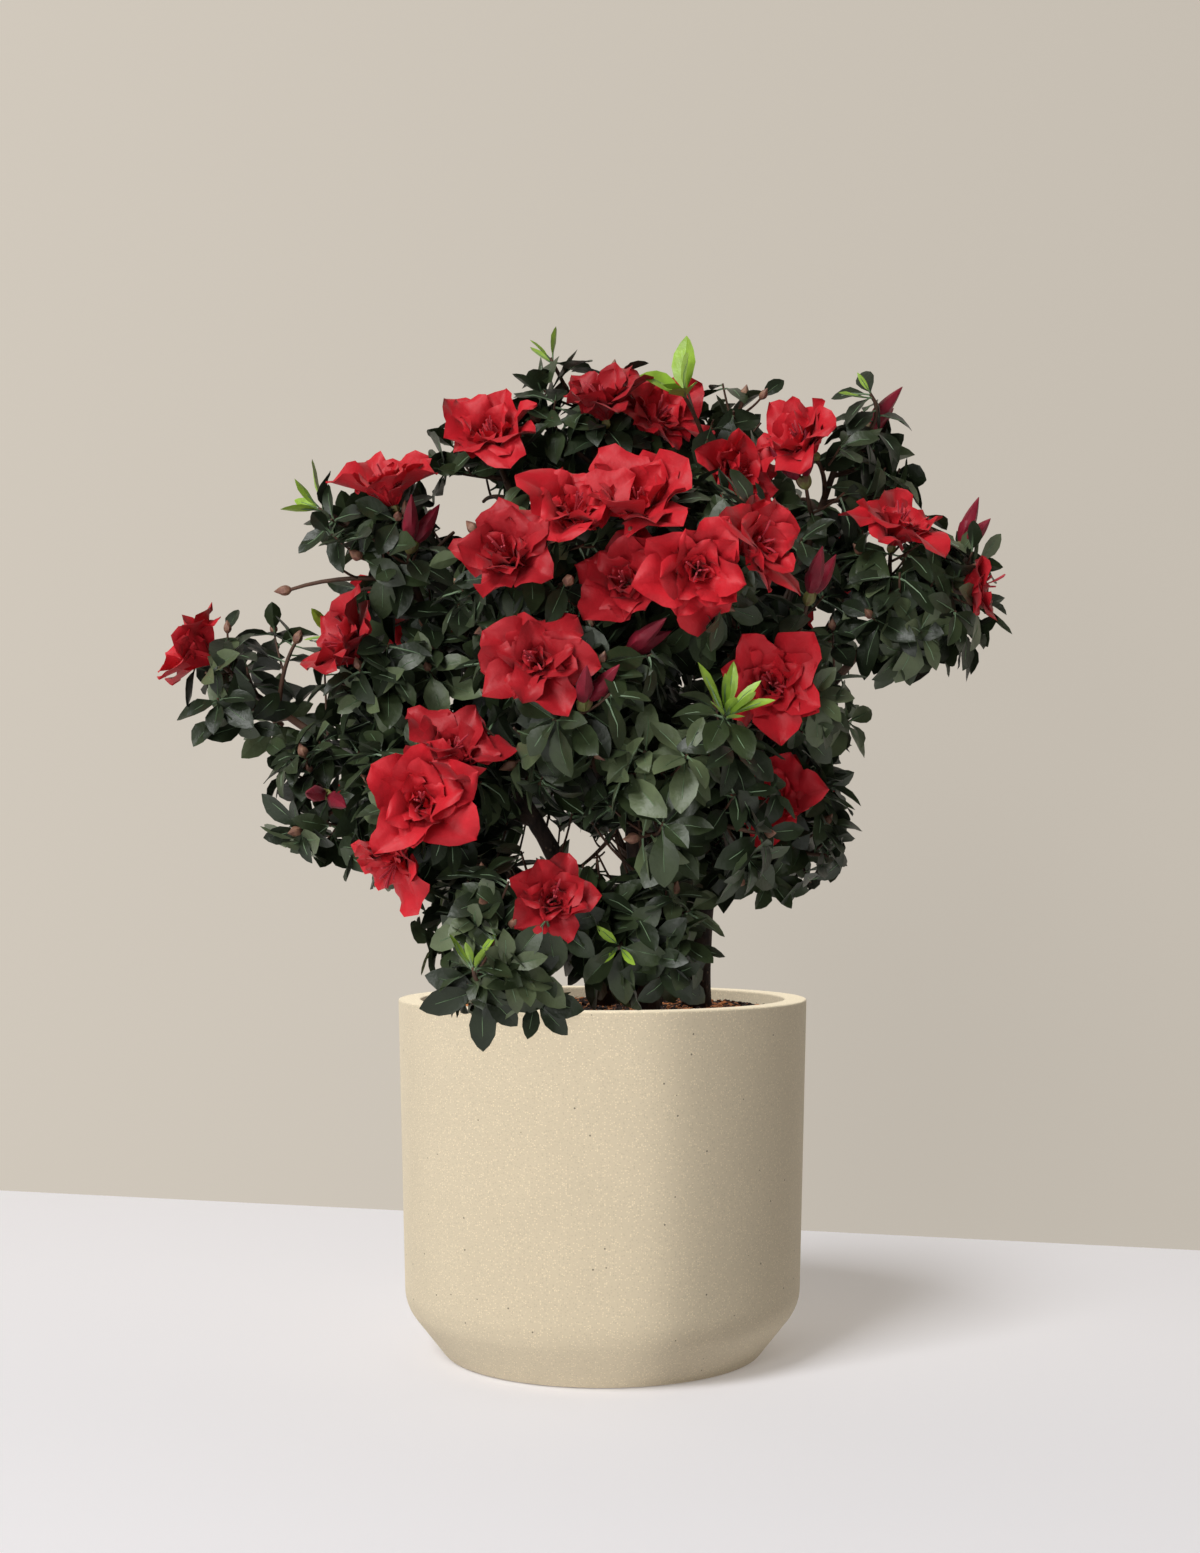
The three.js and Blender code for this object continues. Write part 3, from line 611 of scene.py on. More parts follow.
def shoots_of(number, leafy, stem):
    """A mass's shoots, by the rule that its solid follows."""
    draw = seeded(leafy.seed)
    axis = unit(leafy.middle - stem[0])
    found = []

    def add_named(shows):
        for shown in shows:
            reach = leafy.radius - INSET[shown.kind] + shown.out
            found.append((direction(*shown.at), direction(*shown.faces), reach, shown))

    add_named(leafy.shows)
    side, other = square_to(axis)
    flowering = [row[0] for row in found]
    plain = named("leafy")(0, 0)
    for i in range(GROWTH.shoots):
        forward = 1 - GROWTH.spread * (i + 0.5) / GROWTH.shoots
        outward = math.sqrt(1 - forward**2)
        turn = i * GOLDEN_ANGLE + draw() * GROWTH.wander
        heading = axis * forward + outward * swung(side, other, turn)
        reach = leafy.radius * (GROWTH.reach + GROWTH.uneven * draw())
        if all(math.degrees(math.acos(np.clip(h @ heading, -1, 1))) > GROWTH.aside for h in flowering):
            found.append((heading, unit(heading + UP * GROWTH.upturn), reach, plain))
    add_named(LATER.get(list(MASSES)[number], []))
    shoots = []
    for heading, faces, reach, shown in found:
        tip = leafy.middle + heading * reach
        root = along(stem, [GROWTH.forks[0] + GROWTH.forks[1] * heading @ axis])[0]
        bend = tip - faces * np.linalg.norm(root - tip) * GROWTH.curl
        curve = np.array([root, bend, tip])
        points = along(curve, np.linspace(0.3, 1, 8))
        thick = TWIG.shoot_root
        if (
            on_own_side(number, points, GROWTH.mass_gap + thick * 2).all()
            and clear_of_limbs(number, points, GROWTH.limb_gap + thick).all()
            and clear_of_planter(points).all()
        ):
            shoots.append(SimpleNamespace(kind=shown.kind, curve=curve, faces=faces, tip=tip, shown=shown))
    return shoots


def twig_off(curve, share, turn, lean, length, lift):
    """A twig that leaves a limb at a turn round it and a lean off it, with a tip that rises."""
    root, onward = along(curve, [share])[0], headings(curve, [share])[0]
    lean = math.radians(lean)
    heading = onward * math.cos(lean) + swung(*square_to(onward), turn) * math.sin(lean)
    bend = root + heading * length * FINER.bends_at
    return np.array([root, bend, root + (heading + UP * lift) * length])


def side_twigs_of(number, leafy, shoot, rng):
    """Finer twigs that leave a shoot by turns of the golden angle, where there is room for them."""
    made = []
    turn = rng.uniform(0, 2 * math.pi)
    count = FULLER.get(list(MASSES)[number], FINER.side_twigs)
    for j in range(count):
        share = FINER.span[0] + FINER.span[1] * (j + rng.uniform(0.2, 0.8)) / count
        for _ in range(FINER.tries):
            turn += GOLDEN_ANGLE + rng.uniform(-0.3, 0.3)
            lean = rng.uniform(*FINER.lean)
            length = rng.uniform(*FINER.length) * leafy.radius / FINER.usual_mass
            twig = twig_off(shoot.curve, share, turn, lean, length, FINER.lift)
            bend, tip = twig[1:]
            points = np.array([bend, (bend + tip) / 2, tip])
            if (
                np.linalg.norm(tip - leafy.middle) < leafy.radius - FINER.margin
                and clear_of_planter(points).all()
                and free_for_twig(number, points)
            ):
                made.append(twig)
                break
    return made


def inner_twigs_of(number, curve, shares, rng):
    """Leafy twigs straight off a bough or a trunk, which fill the middle of the crown."""
    made = []
    turn = rng.uniform(0, 2 * math.pi)
    for share in shares:
        for _ in range(FINER.tries):
            turn += GOLDEN_ANGLE
            lean, length = rng.uniform(*INNER.lean), rng.uniform(*INNER.length)
            twig = twig_off(curve, share, turn, lean, length, INNER.lift)
            bend, tip = twig[1:]
            points = np.array([(bend + tip) / 2, tip])
            if tip[2] > INNER.lowest and free_for_twig(number, points) and within_outline(tip):
                made.append(twig)
                break
    return made


def within_outline(tip):
    """Whether a tip is inside the crown as a whole: nearer its middle than some mass's middle is."""
    way = unit(tip - CROWN_HEART)
    reach = (MIDDLES - CROWN_HEART) @ way
    return np.linalg.norm(tip - CROWN_HEART) < reach.max() - 10


@functools.cache
def growth():
    """All shoots and finer twigs of the shrub, mass by mass."""
    masses = []
    for number, (name, leafy) in enumerate(MASSES.items()):
        rng = np.random.default_rng(leafy.seed)
        shoots = shoots_of(number, leafy, limbs().stems[name])
        leafy_shoots = [shoot for shoot in shoots if shoot.kind != "stalk"]
        sides = [twig for shoot in leafy_shoots for twig in side_twigs_of(number, leafy, shoot, rng)]
        share = SPARSE.get(name, 1)
        sides = [twig for twig in sides if rng.random() < share]
        shares = np.linspace(*INNER.bough_span, INNER.per_bough)
        sides += inner_twigs_of(number, limbs().boughs[name], shares, rng)
        if leafy.forks == 1:
            shares = np.linspace(*INNER.trunk_span, INNER.per_trunk)
            sides += inner_twigs_of(number, limbs().trunks[leafy.trunk], shares, rng)
        masses.append(SimpleNamespace(
            number=number, leafy=leafy, shoots=shoots, sides=sides, rng=rng, share=share
        ))
    return masses


# ------------------------------------------------------------------ leaves


def leaves_on(curve, rng, leafy, whorl, below, start=0.5):
    """Where leaves stand on a twig: root, the way each lies, the way it faces, and its size."""
    length = curve_length(curve)
    lower = start + 4 + FINER.spacing * np.arange(1, below + 1)
    back = np.concatenate([np.linspace(start, start + 4, whorl), lower])
    opened = np.concatenate([np.linspace(*LEAF.whorl_opens, whorl), rng.uniform(*LEAF.lower_opens, below)])
    size = np.concatenate([np.linspace(*LEAF.whorl_size, whorl), rng.uniform(*LEAF.lower_size, below)])
    keep = back < 0.85 * length
    back, opened, size = back[keep], np.radians(opened[keep] + rng.normal(0, 7, keep.sum())), size[keep]
    shares = 1 - back / length
    points, onward = along(curve, shares), headings(curve, shares)
    side, other = square_to(onward)
    turn = (rng.uniform(0, 2 * math.pi) + GOLDEN_ANGLE * np.arange(len(back)))[:, None]
    out = side * np.cos(turn) + other * np.sin(turn)
    cos, sin = np.cos(opened)[:, None], np.sin(opened)[:, None]
    lies = unit(onward * cos + out * sin - UP * LEAF.hang)
    faces = onward * sin - out * cos
    to_light = UP * 0.7 + unit(points - leafy.middle) * 0.5
    faces = faces + to_light * FINER.turn_to_light
    faces = unit(faces - lies * (faces * lies).sum(-1, keepdims=True))
    size = size * rng.uniform(0.9, 1.12, len(size))
    return points + out * TWIG.shoot_tip * 0.6, lies, faces, size


def leaf_blades(roots, lies, faces, lengths, widths, droop, fold, rng):
    """Leaf blades: broad above the middle, pointed, folded up along the midrib and drooping."""
    shares, outline, columns = LEAF.shares, LEAF.outline, np.array([-1.0, 0.0, 1.0])
    count = len(roots)
    bend = droop[:, None]
    onward = np.sin(bend * shares) / bend
    down = -(1 - np.cos(bend * shares)) / bend
    across = columns * outline[:, None] * (widths / 2)[:, None, None]
    twist = rng.normal(0, 0.28, (count, 1, 1)) * shares[:, None]
    lifted = np.abs(across) * fold[:, None, None] + across * twist
    wave = rng.normal(0, 0.035, (count, len(shares), 3)) * widths[:, None, None] * outline[:, None]
    high = (down * lengths[:, None])[..., None] + lifted + wave
    far = np.broadcast_to((onward * lengths[:, None])[..., None], high.shape)
    rightward = np.cross(lies, faces)
    tops = (
        roots[:, None, None]
        + across[..., None] * rightward[:, None, None]
        + far[..., None] * lies[:, None, None]
        + high[..., None] * faces[:, None, None]
    )
    ribs = tops[:, LEAF.rib_rows, 1]
    thick = LEAF.rib_radii[:, None, None]
    angle = np.arange(3) * 2 * math.pi / 3
    round_it = faces[:, None] * np.cos(angle)[:, None] + rightward[:, None] * np.sin(angle)[:, None]
    return thin_blades(tops, LEAF.thickness), skinned(ribs[:, :, None] + round_it[:, None] * thick)


def clear_of_blooms(points):
    """Whether points stay out of the bowls of the open blooms, and off the flower buds."""
    places = np.array([flower.base for flower in flowers()])
    ways = np.array([flower.faces for flower in flowers()])
    offsets = points[:, None] - places
    forward = (offsets * ways).sum(-1)
    aside = np.linalg.norm(offsets - forward[..., None] * ways, axis=-1)
    within = (forward > BOWL.near) & (forward < BOWL.far)
    within &= (aside < BOWL.throat + forward * BOWL.widens) & (aside < BOWL.widest)
    buds = [shoot for grown in growth() for shoot in grown.shoots if shoot.kind == "bud"]
    starts = np.array([shoot.tip + shoot.faces * BUD_ROOM.start for shoot in buds])
    ends = np.array([shoot.tip + shoot.faces * BUD_ROOM.end for shoot in buds])
    return ~within.any(axis=1) & (from_lines(points, starts, ends) > BUD_ROOM.radius).all(axis=1)


@functools.cache
def foliage():
    """Every leaf of the shrub by tint, as arrays of where and how it stands."""
    groups = {tint: [] for tint in (*TINTS, "young")}
    for grown in growth():
        rng, leafy = grown.rng, grown.leafy
        sprays = [(shoot.kind, shoot.curve, shoot.shown) for shoot in grown.shoots if shoot.kind != "stalk"]
        sprays += [("side", twig, None) for twig in grown.sides]
        for kind, curve, shown in sprays:
            whorl = int(rng.integers(FINER.whorl[0], FINER.whorl[1] + 1))
            below = int(rng.integers(FINER.below[0], FINER.below[1] + 1))
            start = {"bloom": 10, "bud": 4}.get(kind, 0.5)
            if kind not in ("side", "bare"):
                below += FINER.more_below
            proud = 4 if np.linalg.norm(curve[-1] - leafy.middle) < leafy.radius else 60
            tint = list(TINTS)[int(rng.choice(3, p=list(TINTS.values())))]
            roots, lies, faces, size = leaves_on(curve, rng, leafy, whorl, below, start)
            ends = roots + lies * (size * LEAF.reach)[:, None]
            fine = rng.random(len(ends)) < (1 + grown.share) / 2
            fine &= inside_crown(ends, proud) & clear_of_limbs(grown.number, ends, 1)
            for points, room in ((ends, 4), ((roots + ends) / 2, 8)):
                fine &= clear_of_planter(points) & clear_of_passages(points, room)
                fine &= clear_of_open_spots(points) & clear_of_blooms(points)
            fine &= kind != "bare"
            groups[tint].append((roots[fine], lies[fine], faces[fine], size[fine], np.ones(fine.sum())))
            if kind == "sprig":
                count = shown.leaves
                roots, lies, faces, size = leaves_on(curve, rng, leafy, count, 0, 0)
                lies = unit(lies + headings(curve, [1.0]) * 0.9 + UP * 0.2)
                faces = unit(faces - lies * (faces * lies).sum(-1, keepdims=True))
                groups["young"].append((roots, lies, faces, size * shown.size, np.full(count, shown.broad)))
    for root, way, size in HANGING:
        lies = unit(np.array([way], float))
        faces = unit(np.array([[0.2, -1.0, 0.0]]) - lies * (lies @ [0.2, -1.0, 0.0]))
        groups["deep"].append((np.array([root], float), lies, faces, np.array([size]), np.ones(1)))
    return {tint: [np.concatenate(part) for part in zip(*rows)] for tint, rows in groups.items()}


# ------------------------------------------------------------------ blooms and buds


@functools.cache
def flowers():
    """Where the blooms stand: base, the way each faces, and a seed."""
    found = []
    for grown in growth():
        for shoot in grown.shoots:
            if shoot.kind == "bloom":
                base = shoot.tip - shoot.faces * 4
                found.append(SimpleNamespace(
                    base=base, faces=shoot.faces, opens=shoot.shown.opens, size=shoot.shown.size,
                    seed=len(found) + 11,
                ))
    return found


def petal_grid(rng, length, width, opens, curl, cup, ruffle, rows=11, columns=7):
    """One petal's face: out of the throat, widest past the middle, pointed, creased and ruffled."""
    s = np.linspace(0, 1, rows)
    t = np.linspace(-1, 1, columns)
    ease = np.clip(s / 0.7, 0, 1)
    ease = ease * ease * (3 - 2 * ease)
    angle = np.radians(opens[0] + (opens[1] - opens[0]) * ease + curl * s**3)
    step = length / (rows - 1)
    middle_angle = (angle[1:] + angle[:-1]) / 2
    out = 1.6 + np.concatenate([[0], np.cumsum(np.sin(middle_angle)) * step])
    forward = np.concatenate([[0], np.cumsum(np.cos(middle_angle)) * step])
    outline = (0.1 + 0.9 * s**0.8) * np.maximum(1 - s**2.3, 0) ** 0.9
    outline = np.maximum(outline / outline.max(), 0.02)[:, None]
    notches = 1 + 0.12 * np.sin(rng.uniform(0, 6.3, (1, 2)) + s[:, None] * rng.uniform(11, 17, (1, 2)))
    left = t < 0
    across = outline * t * np.where(left, notches[:, :1], notches[:, 1:]) * width / 2
    phase, waves = rng.uniform(0, 6.3, 2), rng.uniform(9, 14, 2)
    left_wave, right_wave = (np.sin(s[:, None] * waves[side] + phase[side]) for side in (0, 1))
    wave = np.where(left, left_wave, right_wave)
    bulge = np.sin(math.pi * s)[:, None]
    crease = -0.15 * width * np.exp(-((t / 0.24) ** 2)) * bulge
    frill = ruffle * wave * (s[:, None] ** 0.9) * np.abs(t) ** 1.7 * (outline + 0.25)
    lift = cup * across**2 / width + frill + crease + across * rng.normal(0, 0.3) * s[:, None]
    lean = rng.normal(0, 0.16)
    grid = np.zeros((rows, columns, 3))
    grid[..., 0] = out[:, None] - np.cos(angle)[:, None] * lift
    grid[..., 1] = -across + lean * out[:, None] * s[:, None]
    grid[..., 2] = forward[:, None] + np.sin(angle)[:, None] * lift
    return grid


# The rings of petals in a double bloom: how many, length, width, degrees off the bloom's axis at the
# throat and at two thirds, how far the tip curls back, how cupped, and how ruffled.
PETAL_RINGS = (
    (5, 46, 31, 22, 78, 36, 0.1, 5.2),
    (5, 40, 26, 16, 62, 34, 0.2, 5.8),
    (5, 31, 18, 11, 44, 36, 0.3, 5.2),
    (5, 21, 11, 6, 26, 30, 0.5, 3.6),
)
STAMENS = 6  # in each bloom


def bloom_petals(flower, size):
    """All petals of one double bloom, in place: open rings round a crumpled middle."""
    rng = np.random.default_rng(flower.seed)
    petals = []
    for ring, (count, length, width, start, finish, curl, cup, ruffle) in enumerate(PETAL_RINGS):
        for k in range(count):
            turn = (k + ring * 0.5) * 2 * math.pi / count + rng.normal(0, 0.16) + ring * 0.3
            grown = size * rng.uniform(0.86, 1.1)
            opens = (start + rng.normal(0, 2), finish + flower.opens + rng.normal(0, 11))
            grid = petal_grid(
                rng, length * grown, width * grown * rng.uniform(0.86, 1.14), opens,
                curl + rng.normal(0, 20), cup + rng.normal(0, 0.3), ruffle * rng.uniform(0.7, 1.3) * size,
            )
            cos, sin = math.cos(turn), math.sin(turn)
            x, y = grid[..., 0] * cos - grid[..., 1] * sin, grid[..., 0] * sin + grid[..., 1] * cos
            petals.append(np.stack([x, y, grid[..., 2]], -1))
    return placed(np.array(petals), flower.base, flower.faces, rng.uniform(0, 6.3))


def placed(points, base, faces, roll):
    """Points about +Z, turned by roll and then to face another way, and moved to base."""
    side, other = square_to(faces)
    across, upward = swung(side, other, roll), swung(other, -side, roll)
    return base + points[..., :1] * across + points[..., 1:2] * upward + points[..., 2:] * faces


def bud_rings(base, faces, length, radius, twist, roll, lobes=5):
    """A closed bud of overlapping scales or petals that wind up to a point."""
    s = np.linspace(0, 1, 11)
    fat = radius * np.sin(math.pi * np.clip(s, 0.02, 0.985) ** 0.8) ** 0.8 * (1 - 0.35 * s)
    angle = np.arange(15) * 2 * math.pi / 15
    wound = ((angle[None] * lobes / (2 * math.pi) + s[:, None] * twist) % 1.0) ** 1.5
    radii = fat[:, None] * (0.86 + 0.26 * wound)
    high = np.broadcast_to((s * length)[:, None], radii.shape)
    points = np.stack([radii * np.cos(angle), radii * np.sin(angle), high], -1)
    return placed(points, base, faces, roll)


def tip_bud(curve, length, radius):
    """A leaf bud on a twig's tip, turned up a little."""
    way = unit(headings(curve, [1.0])[0] + UP * 0.2)
    return bud_rings(curve[-1] - way, way, length, radius, 0.5, 1.0)


# ------------------------------------------------------------------ materials


def node(tree, kind, inputs=None, **settings):
    """Adds a node, sets its properties, and gives each input a value or a link from a socket."""
    made = tree.nodes.new(kind)
    for key, value in settings.items():
        setattr(made, key, value)
    for key, value in (inputs or {}).items():
        if isinstance(value, bpy.types.NodeSocket):
            tree.links.new(value, made.inputs[key])
        else:
            made.inputs[key].default_value = value
    return made


def empty_tree(owner):
    """The node tree of a new material or world, without its nodes."""
    owner.use_nodes = True
    owner.node_tree.nodes.clear()
    return owner.node_tree


def maths(tree, operation, first, second, kind="ShaderNodeMath"):
    """A sum with two numbers or vectors."""
    return node(tree, kind, {0: first, 1: second}, operation=operation).outputs[0]


def blend(tree, share, first, second):
    """A mix of two colours, each a colour or a socket."""
    return node(tree, "ShaderNodeMix", {0: share, 6: first, 7: second}, data_type="RGBA").outputs[2]


def surface(name, mottle, grains, relief, **settings):
    """A matte or glossy natural surface.

    mottle is (two colours, size in mm, contrast) of its broad variation, each of grains is (colour,
    spacing in mm, share that has a speck, speck's radius as a share of the spacing), and relief is
    (size in mm, height in mm, stretch along Z).
    """
    made = bpy.data.materials.new(name)
    tree = empty_tree(made)
    place = node(tree, "ShaderNodeTexCoord").outputs["Object"]
    (first, second), size, contrast = mottle
    cloud = node(tree, "ShaderNodeTexNoise", {"Vector": place, "Scale": 1 / (size * MM), "Detail": 3.0})
    spread = node(
        tree, "ShaderNodeMapRange",
        {"Value": cloud.outputs["Fac"], "From Min": 0.5 - contrast, "From Max": 0.5 + contrast},
    )
    colour = blend(tree, spread.outputs["Result"], (*first, 1), (*second, 1))
    for speck, speck_size, share, speck_radius in grains:
        cells = node(
            tree, "ShaderNodeTexVoronoi", {"Vector": place, "Scale": 1 / (speck_size * MM)}, feature="F1"
        )
        by_chance = node(tree, "ShaderNodeSeparateColor", {"Color": cells.outputs["Color"]})
        chosen = maths(tree, "LESS_THAN", by_chance.outputs["Red"], share)
        near = maths(tree, "LESS_THAN", cells.outputs["Distance"], speck_radius)
        colour = blend(tree, maths(tree, "MULTIPLY", chosen, near), colour, (*speck, 1))
    bump_size, height, stretch = relief
    stretched = node(tree, "ShaderNodeMapping", {"Vector": place, "Scale": (1, 1, 1 / stretch)}).outputs[0]
    rough = node(
        tree, "ShaderNodeTexNoise", {"Vector": stretched, "Scale": 1 / (bump_size * MM), "Detail": 4.0}
    )
    bump = node(tree, "ShaderNodeBump", {"Height": rough.outputs["Fac"], "Distance": height * MM})
    inputs = {"Base Color": colour, "Normal": bump.outputs[0], **settings}
    shader = node(tree, "ShaderNodeBsdfPrincipled", inputs)
    node(tree, "ShaderNodeOutputMaterial", {"Surface": shader.outputs[0]})
    return made


def shade(colour, share):
    """A colour made lighter or darker."""
    return tuple(min(1, c * share) for c in colour)


def cast_stone(look):
    """Cast stone, pressed in a mould and left matte: a sandy skin with pale grains, and small air pits
    whose shade is painted as dark specks.

    The sand is about 0.4 mm, which is too fine to show, so its grains are drawn 1.2 mm apart.
    """
    base = tuple(look.colour)
    darker_grain = (shade(base, 0.88), 1.3, 0.3, 0.42)
    lighter_grain = (shade(base, 1.2), 1.15, 0.26, 0.4)
    # Painted shade: these dark specks stand in for the shadow inside small air pits.
    pit_shade_speck = (shade(base, 0.32), 9, 0.4, 0.07)
    return surface(
        "cast_stone_sanded", ((base, shade(base, 0.96)), 34, 0.3), [darker_grain, lighter_grain, pit_shade_speck],
        (1.2, 0.3, 1), Roughness=0.88, **{"Diffuse Roughness": 0.8},
    )


def damp_potting_mix():
    """Damp peat and bark fines: nearly black brown, soft and crumbly."""
    return surface(
        "potting_mix_damp", ((linear("#2a1a13"), linear("#160d0a")), 5, 0.18),
        [(linear("#6b3b22"), 2.2, 0.18, 0.32)], (2.4, 1.6, 1), Roughness=0.95,
    )


def composted_bark():
    """Composted bark chips and coir: torn orange-brown fibre, dull."""
    return surface(
        "composted_bark_chips", ((linear("#d08248"), linear("#5a3018")), 7, 0.2), [], (1.2, 0.5, 1),
        Roughness=0.9,
    )


def stem_bark():
    """Old azalea bark: grey-brown, split into fine lengthwise flakes."""
    return surface(
        "azalea_bark_flaking", ((linear("#3d2d24"), linear("#1d1512")), 7, 0.16),
        [(linear("#5b493c"), 3, 0.2, 0.32)], (2.2, 1.5, 5), Roughness=0.88,
    )


def young_bark():
    """This year's bark: thin, reddish brown and slightly hairy."""
    return surface(
        "azalea_twig_bark", ((linear("#5a3a28"), linear("#3c2c20")), 8, 0.2), [], (0.8, 0.2, 3),
        Roughness=0.75,
    )


def leaf_skin(name, first, second):
    """Evergreen azalea leaf: leathery with short flat hairs, so it has a soft grey sheen."""
    return surface(
        name, ((first, second), 17, 0.12), [], (3.2, 0.35, 1), Roughness=0.42,
        **{"Sheen Weight": 0.04, "Specular IOR Level": 0.42},
    )


def leaf_rib():
    """The midrib and stalk of a leaf: smoother and paler than the blade."""
    return surface(
        "azalea_leaf_midrib", ((linear("#6d8363"), linear("#57704f")), 9, 0.2), [], (1.0, 0.1, 1),
        Roughness=0.5,
    )


def petal_skin(name, first, second):
    """Azalea petal: soft and velvety."""
    return surface(
        name, ((first, second), 14, 0.16), [], (4.5, 0.5, 1), Roughness=0.52,
        **{"Sheen Weight": 0.06, "Specular IOR Level": 0.3},
    )


def bud_skin(name, first, second, size):
    """The scales of a leaf bud and the sepals of a flower: dry, thin and dull."""
    return surface(name, ((first, second), size, 0.2), [], (1.0, 0.2, 2), Roughness=0.6)


# ------------------------------------------------------------------ settings that a user changes


def colour_property(name, hex_colour, description):
    """A colour setting."""
    return FloatVectorProperty(
        name=name, description=description, default=linear(hex_colour), subtype="COLOR", size=3,
        min=0, max=1,
    )


class PlanterSettings(bpy.types.PropertyGroup):
    colour: colour_property("Stone", "#cfc2a8", "Colour of the cast stone")
    sides: IntProperty(name="Sides", description="Faces round the planter", default=192, min=24, max=512)


class FoliageSettings(bpy.types.PropertyGroup):
    leaf_length: FloatProperty(
        name="Leaf length", description="Length of a full-grown leaf", default=0.034, min=0.01,
        unit="LENGTH",
    )
    leaf_width: FloatProperty(
        name="Leaf width", description="Width of a full-grown leaf", default=0.0165, min=0.004,
        unit="LENGTH",
    )
    deep: colour_property("Deep leaves", "#1f2a15", "Older leaves")
    mid: colour_property("Green leaves", "#303c21", "Most leaves")
    pale: colour_property("Pale leaves", "#5a6646", "Leaves with a greyer bloom")
    young: colour_property("Young leaves", "#93b63c", "Leaves of this month's growth")


class BloomSettings(bpy.types.PropertyGroup):
    size: FloatProperty(
        name="Size", description="Share of a full-size bloom", default=1.0, min=0.3, max=1.5
    )
    petal: colour_property("Petals", "#c21825", "Lit colour of the petals")
    bud: colour_property("Buds", "#86122a", "Closed flower buds")


class StageSettings(bpy.types.PropertyGroup):
    wall: colour_property("Wall", "#c8c0b4", "Painted wall")
    floor: colour_property("Floor", "#e3e3e9", "Floor")


# ------------------------------------------------------------------ the operators


def rounded(*corners):
    """Points round a corner, from three points on the section of a turned shape."""
    return along(np.array(corners), np.linspace(0, 1, 7))


def turned(profile, sides):
    """A section of (radius, height) rows turned round the Z axis, as rings of points."""
    angle = np.arange(sides) * 2 * math.pi / sides
    high = np.broadcast_to(profile[:, 1:], (len(profile), sides))
    return np.stack([profile[:, :1] * np.cos(angle), profile[:, :1] * np.sin(angle), high], -1)


class AZALEA_OT_planter(bpy.types.Operator):
    """Build the round cast planter"""

    bl_idname = "azalea.planter"
    bl_label = "Planter"

    def execute(self, context):
        look = context.scene.azalea_planter
        p = PLANTER
        foot = np.array([p.foot_radius, 0])
        corner = np.array([p.shoulder_radius, p.shoulder_height])
        rim, lip = np.array([p.rim_radius, p.height]), np.array([p.rim_radius - p.wall, p.height])
        slope = math.hypot(*(corner - foot))
        low = corner + (foot - corner) * (p.shoulder_round / slope)
        high = corner + np.array([0, p.shoulder_round])
        edge, side = np.array([0, p.edge]), np.array([p.edge, 0])
        toe = foot + (corner - foot) * p.edge * 1.4 / slope
        profile = np.concatenate([
            [[p.foot_radius / 2, 0]],
            rounded(foot - side * 2, foot, toe),
            rounded(low, corner, high),
            rounded(rim - edge, rim, rim - side),
            rounded(lip + side, lip, lip - edge),
            [[p.shoulder_radius - p.wall, p.shoulder_height], [p.foot_radius - p.wall / 2, p.floor]],
            [[p.foot_radius / 2, p.floor]],
        ])
        shape = skinned(turned(profile, look.sides)[None])
        add_piece("cast_planter", shape, cast_stone(look), 40, ["planter"])
        return {"FINISHED"}


def scatter_tree():
    """The node tree that strews crumbs or fibres over a surface."""
    tree = bpy.data.node_groups.new("strewn_crumbs", "GeometryNodeTree")
    kinds = ("Float", "Float", "Float", "Int", "Material")
    for name, kind in (("Geometry", "Geometry"), *zip(CRUMB_INPUTS, kinds)):
        tree.interface.new_socket(name, in_out="INPUT", socket_type="NodeSocket" + kind)
    tree.interface.new_socket("Geometry", in_out="OUTPUT", socket_type="NodeSocketGeometry")
    given = node(tree, "NodeGroupInput").outputs
    points = node(
        tree, "GeometryNodeDistributePointsOnFaces",
        {"Mesh": given["Geometry"], "Density": given["Per square metre"], "Seed": given["Seed"]},
        distribute_method="RANDOM",
    )
    ball = node(tree, "GeometryNodeMeshIcoSphere", {"Radius": 0.5, "Subdivisions": 2})
    crumple = node(tree, "ShaderNodeTexNoise", {"Scale": 1.7, "Detail": 1.0}, noise_dimensions="3D")
    shift = maths(tree, "SUBTRACT", crumple.outputs["Color"], (0.5, 0.5, 0.5), "ShaderNodeVectorMath")
    uneven = node(tree, "ShaderNodeVectorMath", {0: shift, "Scale": 0.9}, operation="SCALE")
    crumb = node(
        tree, "GeometryNodeSetPosition", {"Geometry": ball.outputs["Mesh"], "Offset": uneven.outputs[0]}
    )
    thick = given["Thickness"]
    sizes = node(tree, "ShaderNodeCombineXYZ", {"X": given["Length"], "Y": thick, "Z": thick}).outputs[0]
    chance = node(
        tree, "FunctionNodeRandomValue",
        {"Min": (0.45, 0.6, 0.6), "Max": (1.4, 1.5, 1.4), "Seed": given["Seed"]},
        data_type="FLOAT_VECTOR",
    )
    scaled = maths(tree, "MULTIPLY", sizes, chance.outputs["Value"], "ShaderNodeVectorMath")
    tilted = node(
        tree, "FunctionNodeRandomValue",
        {"Min": (-0.35, -0.35, 0.0), "Max": (0.35, 0.35, 6.283), "Seed": 5},
        data_type="FLOAT_VECTOR",
    )
    strewn = node(
        tree, "GeometryNodeInstanceOnPoints",
        {
            "Points": points.outputs["Points"], "Instance": crumb.outputs[0],
            "Rotation": tilted.outputs["Value"], "Scale": scaled,
        },
    )
    real = node(tree, "GeometryNodeRealizeInstances", {"Geometry": strewn.outputs[0]})
    coloured = node(
        tree, "GeometryNodeSetMaterial", {"Geometry": real.outputs[0], "Material": given["Material"]}
    )
    node(tree, "NodeGroupOutput", {"Geometry": coloured.outputs[0]})
    return tree


